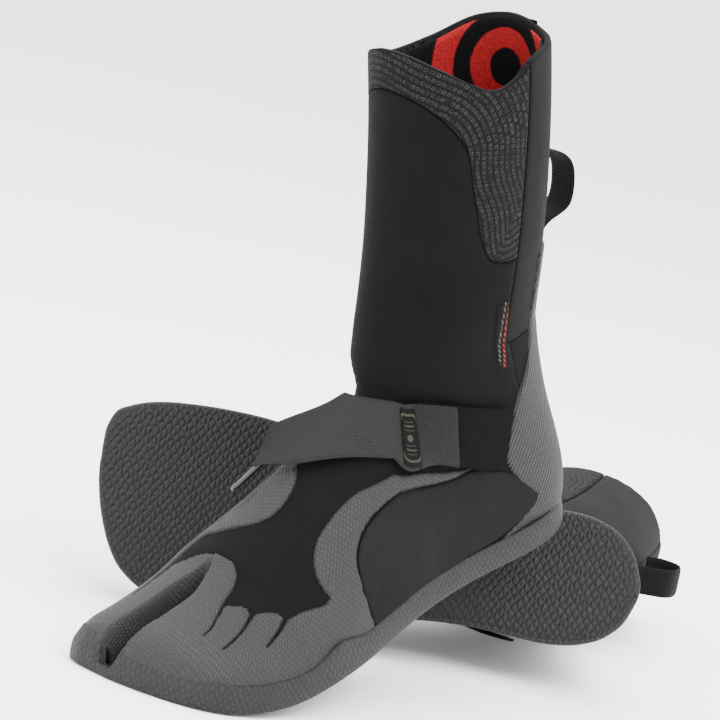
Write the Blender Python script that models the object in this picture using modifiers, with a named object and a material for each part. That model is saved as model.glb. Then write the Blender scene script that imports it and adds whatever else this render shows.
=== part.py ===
"""Pair of split-toe neoprene surf boots: one standing, its heel propped on the other, which lies on its side.

Every sub-part is its own object. Lengths in the tables are millimetres in a boot frame: x runs forward from
the heel, y towards the little toe, z up from the sole. A point of the upper is found from (u, v): u runs from
the toe tip (0) over the instep (1) and the heel fan (2) to the top of the shaft (3); v runs round the section
in turns: 0 at the little toe side, 0.25 at the sole or heel, 0.5 at the big toe side, 0.75 at the instep.
"""

import math

import bpy
import numpy as np
from mathutils import Matrix, Vector
from mathutils.geometry import delaunay_2d_cdt

MM = 0.001

# Sole outline: stations along x with the half width to each side.
PLAN_X = np.array([0, 4, 12, 24, 40, 60, 80, 100, 125, 150, 175, 200, 225, 245, 260, 271, 279, 284, 287.0])
PLAN_LAT = np.array([4, 15, 25, 31.5, 34.5, 34, 33, 33.5, 37, 43, 49, 52, 51.5, 48, 42, 32, 17, 2, -12])
PLAN_MED = np.array([3, 13.5, 24, 30.5, 33, 31, 28, 28, 32, 39, 46, 51, 52.5, 52, 50.5, 48, 44.5, 41, 33.0])
# Height of the instep over the sole.
TOP_X = np.array([124, 132, 145, 160, 180, 200, 220, 240, 258, 270, 279, 284, 287.0])
TOP_Z = np.array([103.5, 98.5, 91, 82, 70, 60, 51, 43.5, 36.5, 31, 25, 20, 12.0])
# Centre of the fan of sections between foot and shaft, and the heel's profile seen from the side.
FAN_X, FAN_Z = 124.0, 119.0
BACK = np.array(
    [(124, 0), (90, 0), (60, 0), (30, 0), (14, 0.5), (6, 4), (1, 12), (-2, 26), (-1, 45), (2, 65), (4, 85),
     (5, 105), (5, 119.0)]
)
FAN_LAT = ([0, 0.2, 0.4, 0.55, 0.7, 0.85, 1], [36.8, 34.0, 34.3, 35.2, 35.3, 34.8, 34.5])
FAN_MED = ([0, 0.2, 0.4, 0.55, 0.7, 0.85, 1], [31.8, 28, 29.5, 33, 34.3, 34.5, 34.5])
# Shaft: front, back and half width at each height.
SHAFT_Z = np.array([119, 130, 150, 175, 200, 230, 260, 300.0])
SHAFT_FRONT = np.array([116, 113, 107.3, 101.5, 97.3, 93, 90.5, 88])
SHAFT_BACK = np.array([5, 3, -1, -5, -7.5, -9, -9.5, -9])
SHAFT_HALF = np.array([34.5, 35, 36, 37, 38, 39.5, 40.5, 41])
# Top edge of the shaft: u at each v.
RIM = ([0, 0.04, 0.1, 0.2, 0.3, 0.36, 0.45, 0.52, 0.62, 0.72, 0.78, 0.86, 0.92, 0.96, 1.0],
       [2.734, 2.772, 2.782, 2.785, 2.812, 2.805, 2.761, 2.752, 2.79, 2.838, 2.838, 2.796, 2.746, 2.72,
        2.734])

NEOPRENE = (-4.4, -1.3)  # inner and outer offset of the foam from the outer surface
OVERLAY = (-0.5, 0.6)  # printed rubber on the foam
SIDE_PANEL = (-0.1, 0.8)
TOE_SHELL = (-3.6, 0.4)
LINING = (-6.3, -5.3)
SOLE_THICK = 3.9
RAND_TOP = 15.5
HEM_HEIGHT = 16.2
BOARD = (4.4, 7.4)
SLOT_HALF = 3.0  # half of the gap between the toes
SLOT_WALL = 1.5
STRAP_WEB = 1.6
FACET_SAG = 0.3  # most that a facet's edge strays from the curved surface
FACET_LONG = 26.0

# Pose of each boot: forefoot bend, shaft leaning backwards, shaft leaning to the little toe side, in degrees.
BEND_START, BEND_LENGTH = 267.0, 60.0
STANDING_POSE = (24.7, 4.1, -1.3)
LYING_POSE = (0.0, 12.0, -12.2)
ORIGIN_X, ORIGIN_Y = 32.7, -68.8  # point of the standing boot's frame that the whole object is centred on
LYING_AT = (44.2, -75.4, 50.2)
LYING_REF = (130.0, 0.0, 40.0)
LYING_YAW, LYING_PITCH, LYING_ROLL = -43.8, 2.1, 102.2


def clear_scene():
    for obj in list(bpy.data.objects):
        bpy.data.objects.remove(obj)


def spline(x, xs, ys):
    xs = np.asarray(xs, float)
    ys = np.asarray(ys, float)
    h = np.diff(xs)
    d = np.diff(ys) / h
    m = np.empty(len(xs))
    m[1:-1] = (d[:-1] * h[1:] + d[1:] * h[:-1]) / (h[1:] + h[:-1])
    m[0] = d[0]
    m[-1] = d[-1]
    x = np.clip(np.asarray(x, float), xs[0], xs[-1])
    i = np.clip(np.searchsorted(xs, x) - 1, 0, len(xs) - 2)
    t = (x - xs[i]) / h[i]
    value = (2 * t**3 - 3 * t**2 + 1) * ys[i] + (3 * t**2 - 2 * t**3) * ys[i + 1]
    return value + ((t**3 - 2 * t**2 + t) * m[i] + (t**3 - t**2) * m[i + 1]) * h[i]


def section(u):
    """Instep point, direction and depth of the section at u, its half widths, low line and two exponents."""
    x = np.clip(287 - u * (287 - FAN_X), FAN_X, 287)
    a = np.clip(u - 1, 0, 1) * math.pi / 2
    k = np.clip(u - 1, 0, 1)
    z = FAN_Z + np.clip(u - 2, 0, 1) * (300 - FAN_Z)
    angle = np.arctan2(FAN_X - BACK[:, 0], FAN_Z - BACK[:, 1])
    reach = np.hypot(FAN_X - BACK[:, 0], FAN_Z - BACK[:, 1])
    t = a / (math.pi / 2)
    inner = 15.5 - 15.2 * t + 6.7 * t**2 + 1.0 * t**3
    toe = u < 1
    shaft = u > 2
    top = spline(x, TOP_X, TOP_Z)
    front = spline(z, SHAFT_Z, SHAFT_FRONT)
    ox = np.where(toe, x, np.where(shaft, front, FAN_X - np.sin(a) * inner))
    oz = np.where(toe, top, np.where(shaft, z, FAN_Z - np.cos(a) * inner))
    dx = np.where(toe, 0.0, np.where(shaft, -1.0, -np.sin(a)))
    dz = np.where(toe, -1.0, np.where(shaft, 0.0, -np.cos(a)))
    girth = front - spline(z, SHAFT_Z, SHAFT_BACK)
    depth = np.where(toe, top, np.where(shaft, girth, spline(a, angle, reach) - inner))
    half = spline(z, SHAFT_Z, SHAFT_HALF)
    lat = np.where(toe, spline(x, PLAN_X, PLAN_LAT), np.where(shaft, half, spline(k, *FAN_LAT)))
    med = np.where(toe, spline(x, PLAN_X, PLAN_MED), np.where(shaft, half, spline(k, *FAN_MED)))
    rise = spline(k, [0, 0.3, 0.6, 1], [0, 0.18, 0.75, 1])
    low = np.where(toe, np.minimum(12, depth * 0.42), 12 + (depth * 0.5 - 12) * rise)
    flat = np.where(toe, 3.6, 3.6 - 1.6 * spline(k, [0, 0.35, 0.7, 1], [0, 0.35, 0.9, 1]))
    dome = np.where(toe, 2.2 - 0.2 * np.clip(u, 0, 1), 2.0)
    return ox, oz, dx, dz, depth, lat, med, low, flat, dome


def raw(u, v):
    u, v = np.broadcast_arrays(np.asarray(u, float), np.asarray(v, float))
    ox, oz, dx, dz, depth, lat, med, low, flat, dome = section(u)
    c = np.cos(v * 2 * math.pi)
    s = np.sin(v * 2 * math.pi)
    n = np.where(s > 0, flat, dome)
    cc = np.sign(c) * np.abs(c) ** (2 / n)
    ss = np.sign(s) * np.abs(s) ** (2 / n)
    shift = np.where(u < 1, -9.0 * np.sin(math.pi * np.clip(u, 0, 1)) ** 1.5, 0)
    y = (lat - med) / 2 + (lat + med) / 2 * cc + shift * np.clip(-ss, 0, 1)
    w = np.where(ss > 0, depth - low + ss * low, (depth - low) * (1 + ss))
    return np.stack([ox + dx * w, y, oz + dz * w], -1)


def surf(u, v, off=0.0):
    """Point of the upper's outer surface, moved outwards by off."""
    e = 2e-3
    u, v, off = np.broadcast_arrays(np.asarray(u, float), np.asarray(v, float), np.asarray(off, float))
    du = raw(np.clip(u + e, 0, 3), v) - raw(np.clip(u - e, 0, 3), v)
    dv = raw(u, v + e) - raw(u, v - e)
    n = np.cross(dv, du)
    n /= np.linalg.norm(n, axis=-1, keepdims=True) + 1e-12
    return raw(u, v) + n * off[..., None]


def rim(v):
    return spline(np.asarray(v, float) % 1.0, *RIM)


def arc(along, across, start, length, angle):
    b = angle if abs(angle) > 1e-6 else 1e-6
    s = start - along
    t = np.clip(s / length, 0, 1) * b
    rest = np.where(s > length, s - length, np.where(s < 0, s, 0.0))
    radius = length / b
    return (start - radius * np.sin(t) - rest * np.cos(t) + across * np.sin(t),
            radius * (1 - np.cos(t)) + rest * np.sin(t) + across * np.cos(t))


def warp(p, pose):
    """Bends the shaft at the ankle and the sole at the ball of the foot."""
    p = np.array(p, float)
    x, y, z = p[..., 0], p[..., 1], p[..., 2]
    a, c = arc(-z, x - 50.0, -75.0, 60.0, math.radians(-pose[1]))
    z, x = -a, c + 50.0
    a, c = arc(-z, y, -75.0, 60.0, math.radians(pose[2]))
    z, y = -a, c
    x, z = arc(x, z, BEND_START, BEND_LENGTH, math.radians(pose[0]))
    return np.stack([x, y, z], -1)


class Boot:
    """Builds the objects of one boot. side is 1 for the left boot and -1 for the right one."""

    def __init__(self, prefix, side, pose, frame):
        self.prefix = prefix
        self.side = side
        self.pose = pose
        self.frame = frame

    def place(self, points):
        p = warp(points, self.pose)
        p[..., 1] *= self.side
        return p * MM

    def obj(self, name, points, faces, slot, thickness=None, hinge=None, smooth=True):
        """Adds an object. thickness makes a shell inwards from the faces; hinge is its joint's empty."""
        verts = self.place(np.asarray(points, float).reshape(-1, 3))
        if hinge is not None:
            verts = verts - np.array(hinge["at"])
        if self.side < 0:
            faces = [tuple(reversed(f)) for f in faces]
        mesh = bpy.data.meshes.new(self.prefix + name)
        mesh.from_pydata([tuple(v) for v in verts], [], faces)
        mesh.validate()
        for poly in mesh.polygons:
            poly.use_smooth = smooth
        obj = bpy.data.objects.new(self.prefix + name, mesh)
        COLLECTION.objects.link(obj)
        obj.parent = self.frame if hinge is None else hinge["empty"]
        mesh.materials.append(material(slot))
        if thickness:
            shell = obj.modifiers.new("Thickness", "SOLIDIFY")
            shell.thickness = thickness * MM
            shell.offset = -1.0
        return obj

    def hinge(self, name, local):
        at = self.place(np.array([local], float))[0]
        empty = bpy.data.objects.new(self.prefix + name, None)
        COLLECTION.objects.link(empty)
        empty.parent = self.frame
        empty.location = Vector(at)
        return {"at": at, "empty": empty}

    def patch(self, name, outline, layer, slot):
        """A panel of the upper: the region of (u, v) inside outline, between the two offsets of layer."""
        ring = dense(outline)
        pts = [tuple(p) for p in ring]
        for u in LATTICE_U:
            for turn in (-1, 0, 1):
                for v in LATTICE_V:
                    if inside((u, v + turn), ring) and clearance((u, v + turn), ring) > 0.5:
                        pts.append((u, v + turn))
        n = len(ring)
        edges = [(i, (i + 1) % n) for i in range(n)]
        scaled = [Vector((p[0] / STEP[0], p[1] / STEP[1])) for p in pts]
        found = delaunay_2d_cdt(scaled, edges, [], 1, 1e-6)
        uv = np.array([(p.x * STEP[0], p.y * STEP[1]) for p in found[0]])
        faces = []
        for f in found[2]:
            q = uv[list(f)]
            area = (q[1, 0] - q[0, 0]) * (q[2, 1] - q[0, 1]) - (q[1, 1] - q[0, 1]) * (q[2, 0] - q[0, 0])
            faces.append(tuple(f) if area < 0 else tuple(reversed(f)))
        k = len(uv)
        points = np.concatenate([surf(uv[:, 0], uv[:, 1], layer[0]), surf(uv[:, 0], uv[:, 1], layer[1])])
        return self.obj(name, points, closed(faces, k), slot)

    def prism(self, name, outer, low, high, slot, inner=None, hinge=None, tops=None):
        """A plate of the plan outline outer between two heights; inner holds points inside the outline."""
        n = len(outer)
        pts = [Vector(p) for p in outer]
        edges = [(i, (i + 1) % n) for i in range(n)]
        if inner is not None:
            pts += [Vector(p) for p in inner]
        found = delaunay_2d_cdt(pts, edges, [], 1, 1e-6)
        flat = np.array([(p.x, p.y) for p in found[0]])
        faces = []
        for f in found[2]:
            q = flat[list(f)]
            area = (q[1, 0] - q[0, 0]) * (q[2, 1] - q[0, 1]) - (q[1, 1] - q[0, 1]) * (q[2, 0] - q[0, 0])
            faces.append(tuple(f) if area > 0 else tuple(reversed(f)))
        k = len(flat)
        top = np.full(k, float(high)) if tops is None else tops(flat)
        points = np.concatenate([np.c_[flat, np.full(k, float(low))], np.c_[flat, top]])
        solid = closed(faces, k)
        return self.obj(name, points, solid, slot, hinge=hinge, smooth=False)

    def band(self, name, rows, thickness, slot, hinge=None):
        """A strip through a grid of points whose rows run along it; it is thickened inwards."""
        rows = np.asarray(rows, float)
        n, m = rows.shape[:2]
        faces = [(i * m + j, (i + 1) * m + j, (i + 1) * m + j + 1, i * m + j + 1)
                 for i in range(n - 1) for j in range(m - 1)]
        return self.obj(name, rows.reshape(-1, 3), faces, slot, thickness=thickness, hinge=hinge)


def closed(faces, k):
    """Faces of the solid between two layers of k points each, from the upper layer's faces."""
    used = {(f[i], f[(i + 1) % len(f)]) for f in faces for i in range(len(f))}
    walls = [e for e in used if (e[1], e[0]) not in used]
    solid = [tuple(reversed(f)) for f in faces] + [tuple(i + k for i in f) for f in faces]
    return solid + [(a, b, b + k, a + k) for a, b in walls]


def dense(outline):
    """The outline with points added where the surface curves."""
    out = []
    n = len(outline)
    for i in range(n):
        a = np.array(outline[i], float)
        b = np.array(outline[(i + 1) % n], float)
        parts = 1
        while parts < 64:
            t = np.linspace(0, 1, parts + 1)
            uv = a + (b - a) * t[:, None]
            mid = (uv[1:] + uv[:-1]) / 2
            p = raw(uv[:, 0], uv[:, 1])
            sag = np.linalg.norm(raw(mid[:, 0], mid[:, 1]) - (p[1:] + p[:-1]) / 2, axis=-1).max()
            if sag < FACET_SAG and np.linalg.norm(p[1:] - p[:-1], axis=-1).max() < FACET_LONG:
                break
            parts += 1
        out += [a + (b - a) * j / parts for j in range(parts)]
    return out


def inside(p, ring):
    x, y = p
    n = len(ring)
    hit = False
    for i in range(n):
        x0, y0 = ring[i]
        x1, y1 = ring[(i + 1) % n]
        if (y0 > y) != (y1 > y) and x < (x1 - x0) * (y - y0) / (y1 - y0) + x0:
            hit = not hit
    return hit


def clearance(p, ring):
    q = np.array(ring) / np.array(STEP)
    r = np.roll(q, -1, axis=0)
    c = np.array(p) / np.array(STEP)
    d = r - q
    t = np.clip(((c - q) * d).sum(1) / ((d * d).sum(1) + 1e-12), 0, 1)
    return np.sqrt((((q + d * t[:, None]) - c) ** 2).sum(1)).min()


def plan(offset):
    """The sole's outline, moved outwards by offset, from its heel round the little toe side."""
    xs = np.array([0, 1.5, 5, 12, 24, 40, 60, 80, 100, 125, 150, 175, 190, 205, 216, 227, 238, 249, 260, 271,
                   279, 284, 287.0])
    lat = np.c_[xs, spline(xs, PLAN_X, PLAN_LAT)]
    med = np.c_[xs, -spline(xs, PLAN_X, PLAN_MED)]
    ring = np.concatenate([lat, med[::-1]])
    before = np.roll(ring, 1, axis=0)
    after = np.roll(ring, -1, axis=0)
    tangent = after - before
    tangent /= np.linalg.norm(tangent, axis=1, keepdims=True)
    normal = np.c_[-tangent[:, 1], tangent[:, 0]]
    return ring + normal * offset


def plan_inside(margin):
    """Points along the middle of the sole, so that it can bend."""
    out = []
    for x in (24, 60, 100, 150, 185, 205, 216, 227, 238, 249, 260, 269):
        lat = float(spline(x, PLAN_X, PLAN_LAT)) - margin
        med = float(spline(x, PLAN_X, PLAN_MED)) - margin
        out += [(x, lat), (x, (lat - med) / 2), (x, -med)]
    return out


def material(slot):
    if slot not in MATERIALS:
        colour, roughness, metallic = SLOTS[slot]
        mat = bpy.data.materials.new(slot)
        mat.use_nodes = True
        shader = mat.node_tree.nodes["Principled BSDF"]
        shader.inputs["Base Color"].default_value = (*colour, 1)
        shader.inputs["Roughness"].default_value = roughness
        shader.inputs["Metallic"].default_value = metallic
        mat.diffuse_color = (*colour, 1)
        MATERIALS[slot] = mat
    return MATERIALS[slot]


SLOTS = {
    "neoprene_black": ((0.018, 0.018, 0.019), 0.85, 0.0),
    "neoprene_grey": ((0.085, 0.085, 0.087), 0.8, 0.0),
    "printed_neoprene": ((0.03, 0.03, 0.031), 0.8, 0.0),
    "rubber_print": ((0.075, 0.075, 0.077), 0.6, 0.0),
    "ribbed_rubber": ((0.11, 0.11, 0.112), 0.55, 0.0),
    "outsole_rubber": ((0.035, 0.035, 0.036), 0.6, 0.0),
    "lining_red": ((0.45, 0.02, 0.02), 0.9, 0.0),
    "webbing": ((0.07, 0.07, 0.072), 0.75, 0.0),
    "hook_and_loop": ((0.012, 0.012, 0.012), 0.95, 0.0),
    "label": ((0.02, 0.022, 0.02), 0.7, 0.0),
    "buckle": ((0.03, 0.03, 0.03), 0.4, 0.0),
    "print_ink": ((0.4, 0.05, 0.04), 0.6, 0.0),
    "insole": ((0.05, 0.05, 0.05), 0.9, 0.0),
}
MATERIALS = {}

# Points inside a panel lie on this lattice of (u, v), finer where the surface curves more.
STEP = (0.085, 0.042)
LATTICE_U = np.concatenate([[0.01, 0.03, 0.06, 0.1, 0.15], np.arange(1, 10) * 0.085 + 0.13,
                            1 + np.arange(0, 13) / 12.0, 2 + np.arange(1, 12) / 11.5])
LATTICE_V = np.concatenate([[0, 0.012, 0.03, 0.055], 0.09 + np.arange(0, 8) * 0.046,
                            [0.445, 0.47, 0.488, 0.5],
                            0.5 + np.arange(1, 12) / 24.0])

# Outlines of the panels in (u, v), clockwise from the toe or the lower edge.
FOREFOOT = [(0.45, -0.497), (0.45, -0.003), (1.25, -0.003), (1.25, -0.497)]
BIG_TOE = [(0.025, -0.41), (0.025, -0.33), (0.06, -0.305), (0.14, -0.292), (0.23, -0.285), (0.3, -0.30),
           (0.43, -0.335), (0.43, -0.47), (0.2, -0.475), (0.06, -0.46)]
SMALL_TOES = [(0.05, -0.09), (0.045, -0.15), (0.1, -0.19), (0.2, -0.208), (0.275, -0.222), (0.32, -0.29),
              (0.4, -0.262), (0.43, -0.22), (0.385, -0.19), (0.33, -0.15), (0.43, -0.10), (0.43, -0.03),
              (0.2, -0.035), (0.09, -0.06)]
LATERAL_WING = [(0.46, -0.03), (0.46, -0.09), (0.57, -0.078), (0.59, -0.112), (0.62, -0.138), (0.67, -0.15),
                (0.8, -0.15), (0.92, -0.128), (1.12, -0.102), (1.30, -0.083), (1.30, -0.073), (1.0, -0.096),
                (0.85, -0.112), (0.755, -0.107), (0.70, -0.077), (0.712, -0.03)]
LATERAL_PANEL = [(0.73, -0.04), (0.718, -0.07), (0.765, -0.098), (0.85, -0.103), (1.0, -0.088), (1.3, -0.065),
                 (1.43, -0.05), (1.475, -0.025), (1.48, 0.02), (1.44, 0.026), (1.36, 0.008), (1.27, -0.01),
                 (1.04, -0.035)]
MEDIAL_PETAL = [(0.46, -0.47), (0.46, -0.345), (0.50, -0.33), (0.53, -0.265), (0.6, -0.235), (0.67, -0.232),
                (0.715, -0.245), (0.77, -0.36), (0.76, -0.47)]
MEDIAL_PANEL = [(0.78, -0.47), (0.79, -0.37), (0.9, -0.38), (1.1, -0.40), (1.3, -0.43), (1.43, -0.45),
                (1.475, -0.475), (1.48, -0.52), (1.44, -0.526), (1.36, -0.508), (1.27, -0.49), (1.04, -0.465)]
COUNTER = [(1.51, 0.49), (1.50, 0.515), (1.545, 0.55), (1.70, 0.505), (1.83, 0.455), (1.98, 0.41),
           (2.08, 0.395), (2.08, 0.105), (1.98, 0.09), (1.83, 0.045), (1.70, -0.005), (1.545, -0.05),
           (1.50, -0.015), (1.51, 0.01),
           (1.53, 0.06), (1.55, 0.1), (1.575, 0.15), (1.595, 0.2), (1.6, 0.25), (1.595, 0.3), (1.575, 0.35),
           (1.55, 0.4), (1.53, 0.44)]
SHAFT_LOWER = [(2.0, 0.02), (2.0, -0.52), (2.215, -0.52), (2.215, -0.48), (2.30, -0.442), (2.46, -0.422),
               (2.56, -0.408), (2.635, -0.36), (2.69, -0.31), (2.715, -0.25), (2.69, -0.19), (2.635, -0.14),
               (2.56, -0.092), (2.46, -0.078), (2.30, -0.058), (2.215, -0.02), (2.215, 0.02)]
ANCHOR = (2.2, 2.4)


def hem(vs):
    """Points where the upper meets the sole's edge round the heel."""
    out = []
    for v in vs:
        low, high = 1.0, 1.95
        for _ in range(30):
            u = (low + high) / 2
            if raw(u, v)[2] < HEM_HEIGHT:
                low = u
            else:
                high = u
        out.append((low, float(v)))
    return out


def ankle_outline():
    front = [(1.263, -0.003)] + hem([0.012, 0.025, 0.037])
    back = [(u, 0.5 - v - 1.0) for u, v in front[::-1]]
    return front + [(1.985, 0.037), (1.935, -0.25), (1.985, -0.537)] + back


def heel_outline():
    side = [0.042, 0.06, 0.08, 0.1, 0.15, 0.2, 0.25]
    return hem(side + [0.5 - v for v in side[-2::-1]]) + [(1.98, 0.458), (1.98, 0.042)]


def collar_outline():
    lower = [(2.23, 0.02), (2.23, -0.014), (2.31, -0.052), (2.46, -0.070), (2.565, -0.084), (2.645, -0.134),
             (2.70, -0.187), (2.725, -0.25), (2.70, -0.313), (2.645, -0.366), (2.565, -0.416), (2.46, -0.43),
             (2.31, -0.448), (2.23, -0.486), (2.23, -0.52)]
    vs = np.linspace(-0.52, 0.02, 15)
    return lower + [(float(rim(v)), float(v)) for v in vs]


def achilles_outline():
    vs = np.linspace(0.474, 0.026, 10)
    return [(2.0, 0.026), (2.0, 0.474)] + [(float(rim(v)), float(v)) for v in vs]


def strap_rows(t0, t1, low, high, steps, wide=(0.0, 1.0), cross=4):
    """Rows of the strap's outer face, from the ring (t 0) over the instep to the heel side (t 1)."""
    ts = np.linspace(t0, t1, steps)
    knots = [0, 0.2, 0.45, 0.75, 1]
    bottom_u = spline(ts, knots, [0.72, 0.80, 1.05, 1.33, 1.51])
    bottom_v = spline(ts, knots, [-0.335, -0.245, -0.130, -0.095, -0.035])
    top_u = spline(ts, knots, [0.83, 1.0, 1.45, 1.66, 1.725])
    top_v = spline(ts, knots, [-0.315, -0.258, -0.180, -0.115, 0.005])
    off = low + (high - low) * np.clip(1 - ts / 0.42, 0, 1) ** 1.2
    bottom = surf(bottom_u, bottom_v, off)
    top = surf(top_u, top_v, off)
    rows = []
    for w in np.linspace(wide[0], wide[1], cross):
        u = bottom_u + (top_u - bottom_u) * w
        v = bottom_v + (top_v - bottom_v) * w
        chord = bottom + (top - bottom) * w
        draped = surf(u, v, off)
        outward = draped - surf(u, v, off - 1.0)
        lift = np.clip(((draped - chord) * outward).sum(-1), 0, None)
        rows.append(chord + outward * lift[:, None])
    return np.swapaxes(np.array(rows), 0, 1)


def sleeve(boot, name, u0, gap, layer, slot, rings=5, around=32):
    """A closed sleeve inside the shaft up to just under its rim."""
    vs = np.arange(around) / around
    points = []
    for off in layer:
        for i in range(rings):
            points.append(surf(u0 + (rim(vs) - gap - u0) * i / (rings - 1), vs, off))
    faces = []
    for i in range(rings - 1):
        for j in range(around):
            k = (j + 1) % around
            faces.append((i * around + j, i * around + k, (i + 1) * around + k, (i + 1) * around + j))
    return boot.obj(name, np.array(points), closed(faces, rings * around), slot)


def slot_line(x):
    """Sideways place of the gap between the big toe and the others."""
    return -14.5 + (287 - x) * 0.03


def build_boot(boot):
    outer = plan(-1.0)
    edge = [tuple(p) for p in outer]
    boot.prism("outsole", edge, 0.0, SOLE_THICK, "outsole_rubber", inner=plan_inside(10.0))
    # Rand: a wall round the sole, open where the toes are split.
    ring = plan(1.3)
    wall = plan(-0.4)
    split = len(ring) // 2
    line_out = np.concatenate([ring[split:], ring[:split]])
    line_in = np.concatenate([wall[split:], wall[:split]])
    keep = np.abs(line_out[:, 1] - slot_line(line_out[:, 0])) > SLOT_HALF + SLOT_WALL + 1.5
    keep |= line_out[:, 0] < 270
    line_out = line_out[keep]
    line_in = line_in[keep]
    c_shape = [tuple(p) for p in line_out] + [tuple(p) for p in line_in[::-1]]
    boot.prism("rand", c_shape, 0.5, RAND_TOP, "outsole_rubber")
    # Lining of the slot between the toes: a U of thin rubber.
    x0, x1 = 285.0, 247.0
    g = SLOT_HALF
    w = SLOT_HALF + SLOT_WALL
    outer_u = [(x0 - 2, slot_line(x0) + w), (x1 + w, slot_line(x1) + w), (x1, slot_line(x1) + w * 0.7),
               (x1 - w * 0.7, slot_line(x1)), (x1, slot_line(x1) - w * 0.7), (x1 + w, slot_line(x1) - w),
               (x0, slot_line(x0) - w)]
    inner_u = [(x0, slot_line(x0) - g), (x1 + w, slot_line(x1) - g), (x1 + 1.2, slot_line(x1) - g * 0.6),
               (x1 + 0.2, slot_line(x1)), (x1 + 1.2, slot_line(x1) + g * 0.6), (x1 + w, slot_line(x1) + g),
               (x0 - 2, slot_line(x0) + g)]
    boot.prism("toe_divider", outer_u + inner_u, SOLE_THICK + 0.4, 20, "outsole_rubber",
               tops=lambda f: np.clip(17.5 + (283 - f[:, 0]) * 0.42, 14, 30))
    board = plan(-7.0)
    board = board[(board[:, 0] < 236) & (board[:, 0] > 6)]
    middle = [p for p in plan_inside(16.0) if p[0] < 222]
    boot.prism("insole_board", [tuple(p) for p in board], BOARD[0], BOARD[1], "insole", inner=middle)

    boot.patch("forefoot_upper", FOREFOOT, NEOPRENE, "neoprene_black")
    boot.patch("ankle_upper", ankle_outline(), NEOPRENE, "neoprene_black")
    boot.patch("heel_cup", heel_outline(), NEOPRENE, "neoprene_black")
    boot.patch("shaft_panel", SHAFT_LOWER, NEOPRENE, "neoprene_black")
    boot.patch("collar_panel", collar_outline(), NEOPRENE, "printed_neoprene")
    boot.patch("achilles_panel", achilles_outline(), NEOPRENE, "neoprene_grey")
    sleeve(boot, "collar_lining", 2.1, 0.012, LINING, "lining_red")
    boot.patch("big_toe_cap", BIG_TOE, TOE_SHELL, "rubber_print")
    boot.patch("small_toes_cap", SMALL_TOES, TOE_SHELL, "rubber_print")
    boot.patch("lateral_wing", LATERAL_WING, OVERLAY, "rubber_print")
    boot.patch("lateral_panel", LATERAL_PANEL, SIDE_PANEL, "neoprene_grey")
    boot.patch("medial_petal", MEDIAL_PETAL, OVERLAY, "rubber_print")
    boot.patch("medial_panel", MEDIAL_PANEL, SIDE_PANEL, "neoprene_grey")
    boot.patch("heel_counter", COUNTER, OVERLAY, "ribbed_rubber")
    tape = [(2.1, 0.225), (2.1, 0.275), (2.76, 0.275), (2.76, 0.225)]
    boot.patch("back_seam_tape", tape, OVERLAY, "neoprene_black")
    mark = [(1.87, -0.02), (1.87, 0.02), (1.965, 0.03), (1.965, -0.005)]
    boot.patch("side_print", mark, OVERLAY, "print_ink")

    # Strap: pile sewn to the heel side, the webbing that closes on it, its hook end and its woven label.
    ring_at = surf(0.775, -0.325, 9.0).tolist()
    strap = boot.hinge("strap_axis", ring_at)
    boot.band("strap_pile", strap_rows(0.66, 1.0, 2.2, 2.2, 7), 1.1, "hook_and_loop")
    boot.band("strap_web", strap_rows(0.13, 0.60, 3.2, 11.0, 12), STRAP_WEB, "webbing", hinge=strap)
    boot.band("strap_hook_end", strap_rows(0.615, 0.82, 4.1, 4.1, 5), STRAP_WEB, "hook_and_loop", hinge=strap)
    label = strap_rows(0.47, 0.59, 4.6, 4.6, 4, wide=(0.06, 0.94))
    boot.band("strap_label", label, 0.8, "label", hinge=strap)
    build_ring(boot)
    build_loop(boot)


def build_ring(boot):
    """The flat ring that the strap turns round, and the sewn tab that holds it."""
    a = surf(0.735, -0.338, 7.2)
    b = surf(0.842, -0.318, 7.2)
    along = (b - a) / np.linalg.norm(b - a)
    n = surf(0.79, -0.328, 8.0) - surf(0.79, -0.328, 0.0)
    n -= along * n.dot(along)
    n /= np.linalg.norm(n)
    across = np.cross(n, along)
    centre = (a + b) / 2
    length, width, bar = 42.0, 11.0, 2.4
    hinge = boot.hinge("ring_axis", (centre - across * (width / 2 - bar / 2)).tolist())
    outline = []
    for sx, sy in ((1, 1), (-1, 1), (-1, -1), (1, -1)):
        outline.append((sx * length / 2, sy * width / 2))
    inner = [(x * (length - 2 * bar) / length, y * (width - 2 * bar) / width) for x, y in outline]
    pts = []
    for level in (-bar / 2, bar / 2):
        for loop in (outline, inner):
            pts += [centre + along * x + across * y + n * level for x, y in loop]
    faces = []
    for i in range(4):
        j = (i + 1) % 4
        faces += [(i, 4 + i, 4 + j, j), (8 + i, 8 + j, 12 + j, 12 + i)]
        faces += [(i, j, 8 + j, 8 + i), (4 + i, 12 + i, 12 + j, 4 + j)]
    boot.obj("ring", np.array(pts), faces, "buckle", hinge=hinge, smooth=False)
    # Tab: a flat strip sewn to the upper beside the ring's inner bar.
    us = np.linspace(0.745, 0.835, 4)
    rows = [surf(us, np.linspace(-0.345, -0.325, 4) - d, 2.2) for d in (0.022, 0.04, 0.06)]
    boot.band("ring_tab", np.swapaxes(np.array(rows), 0, 1)[:, ::-1], 1.2, "webbing")


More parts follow.
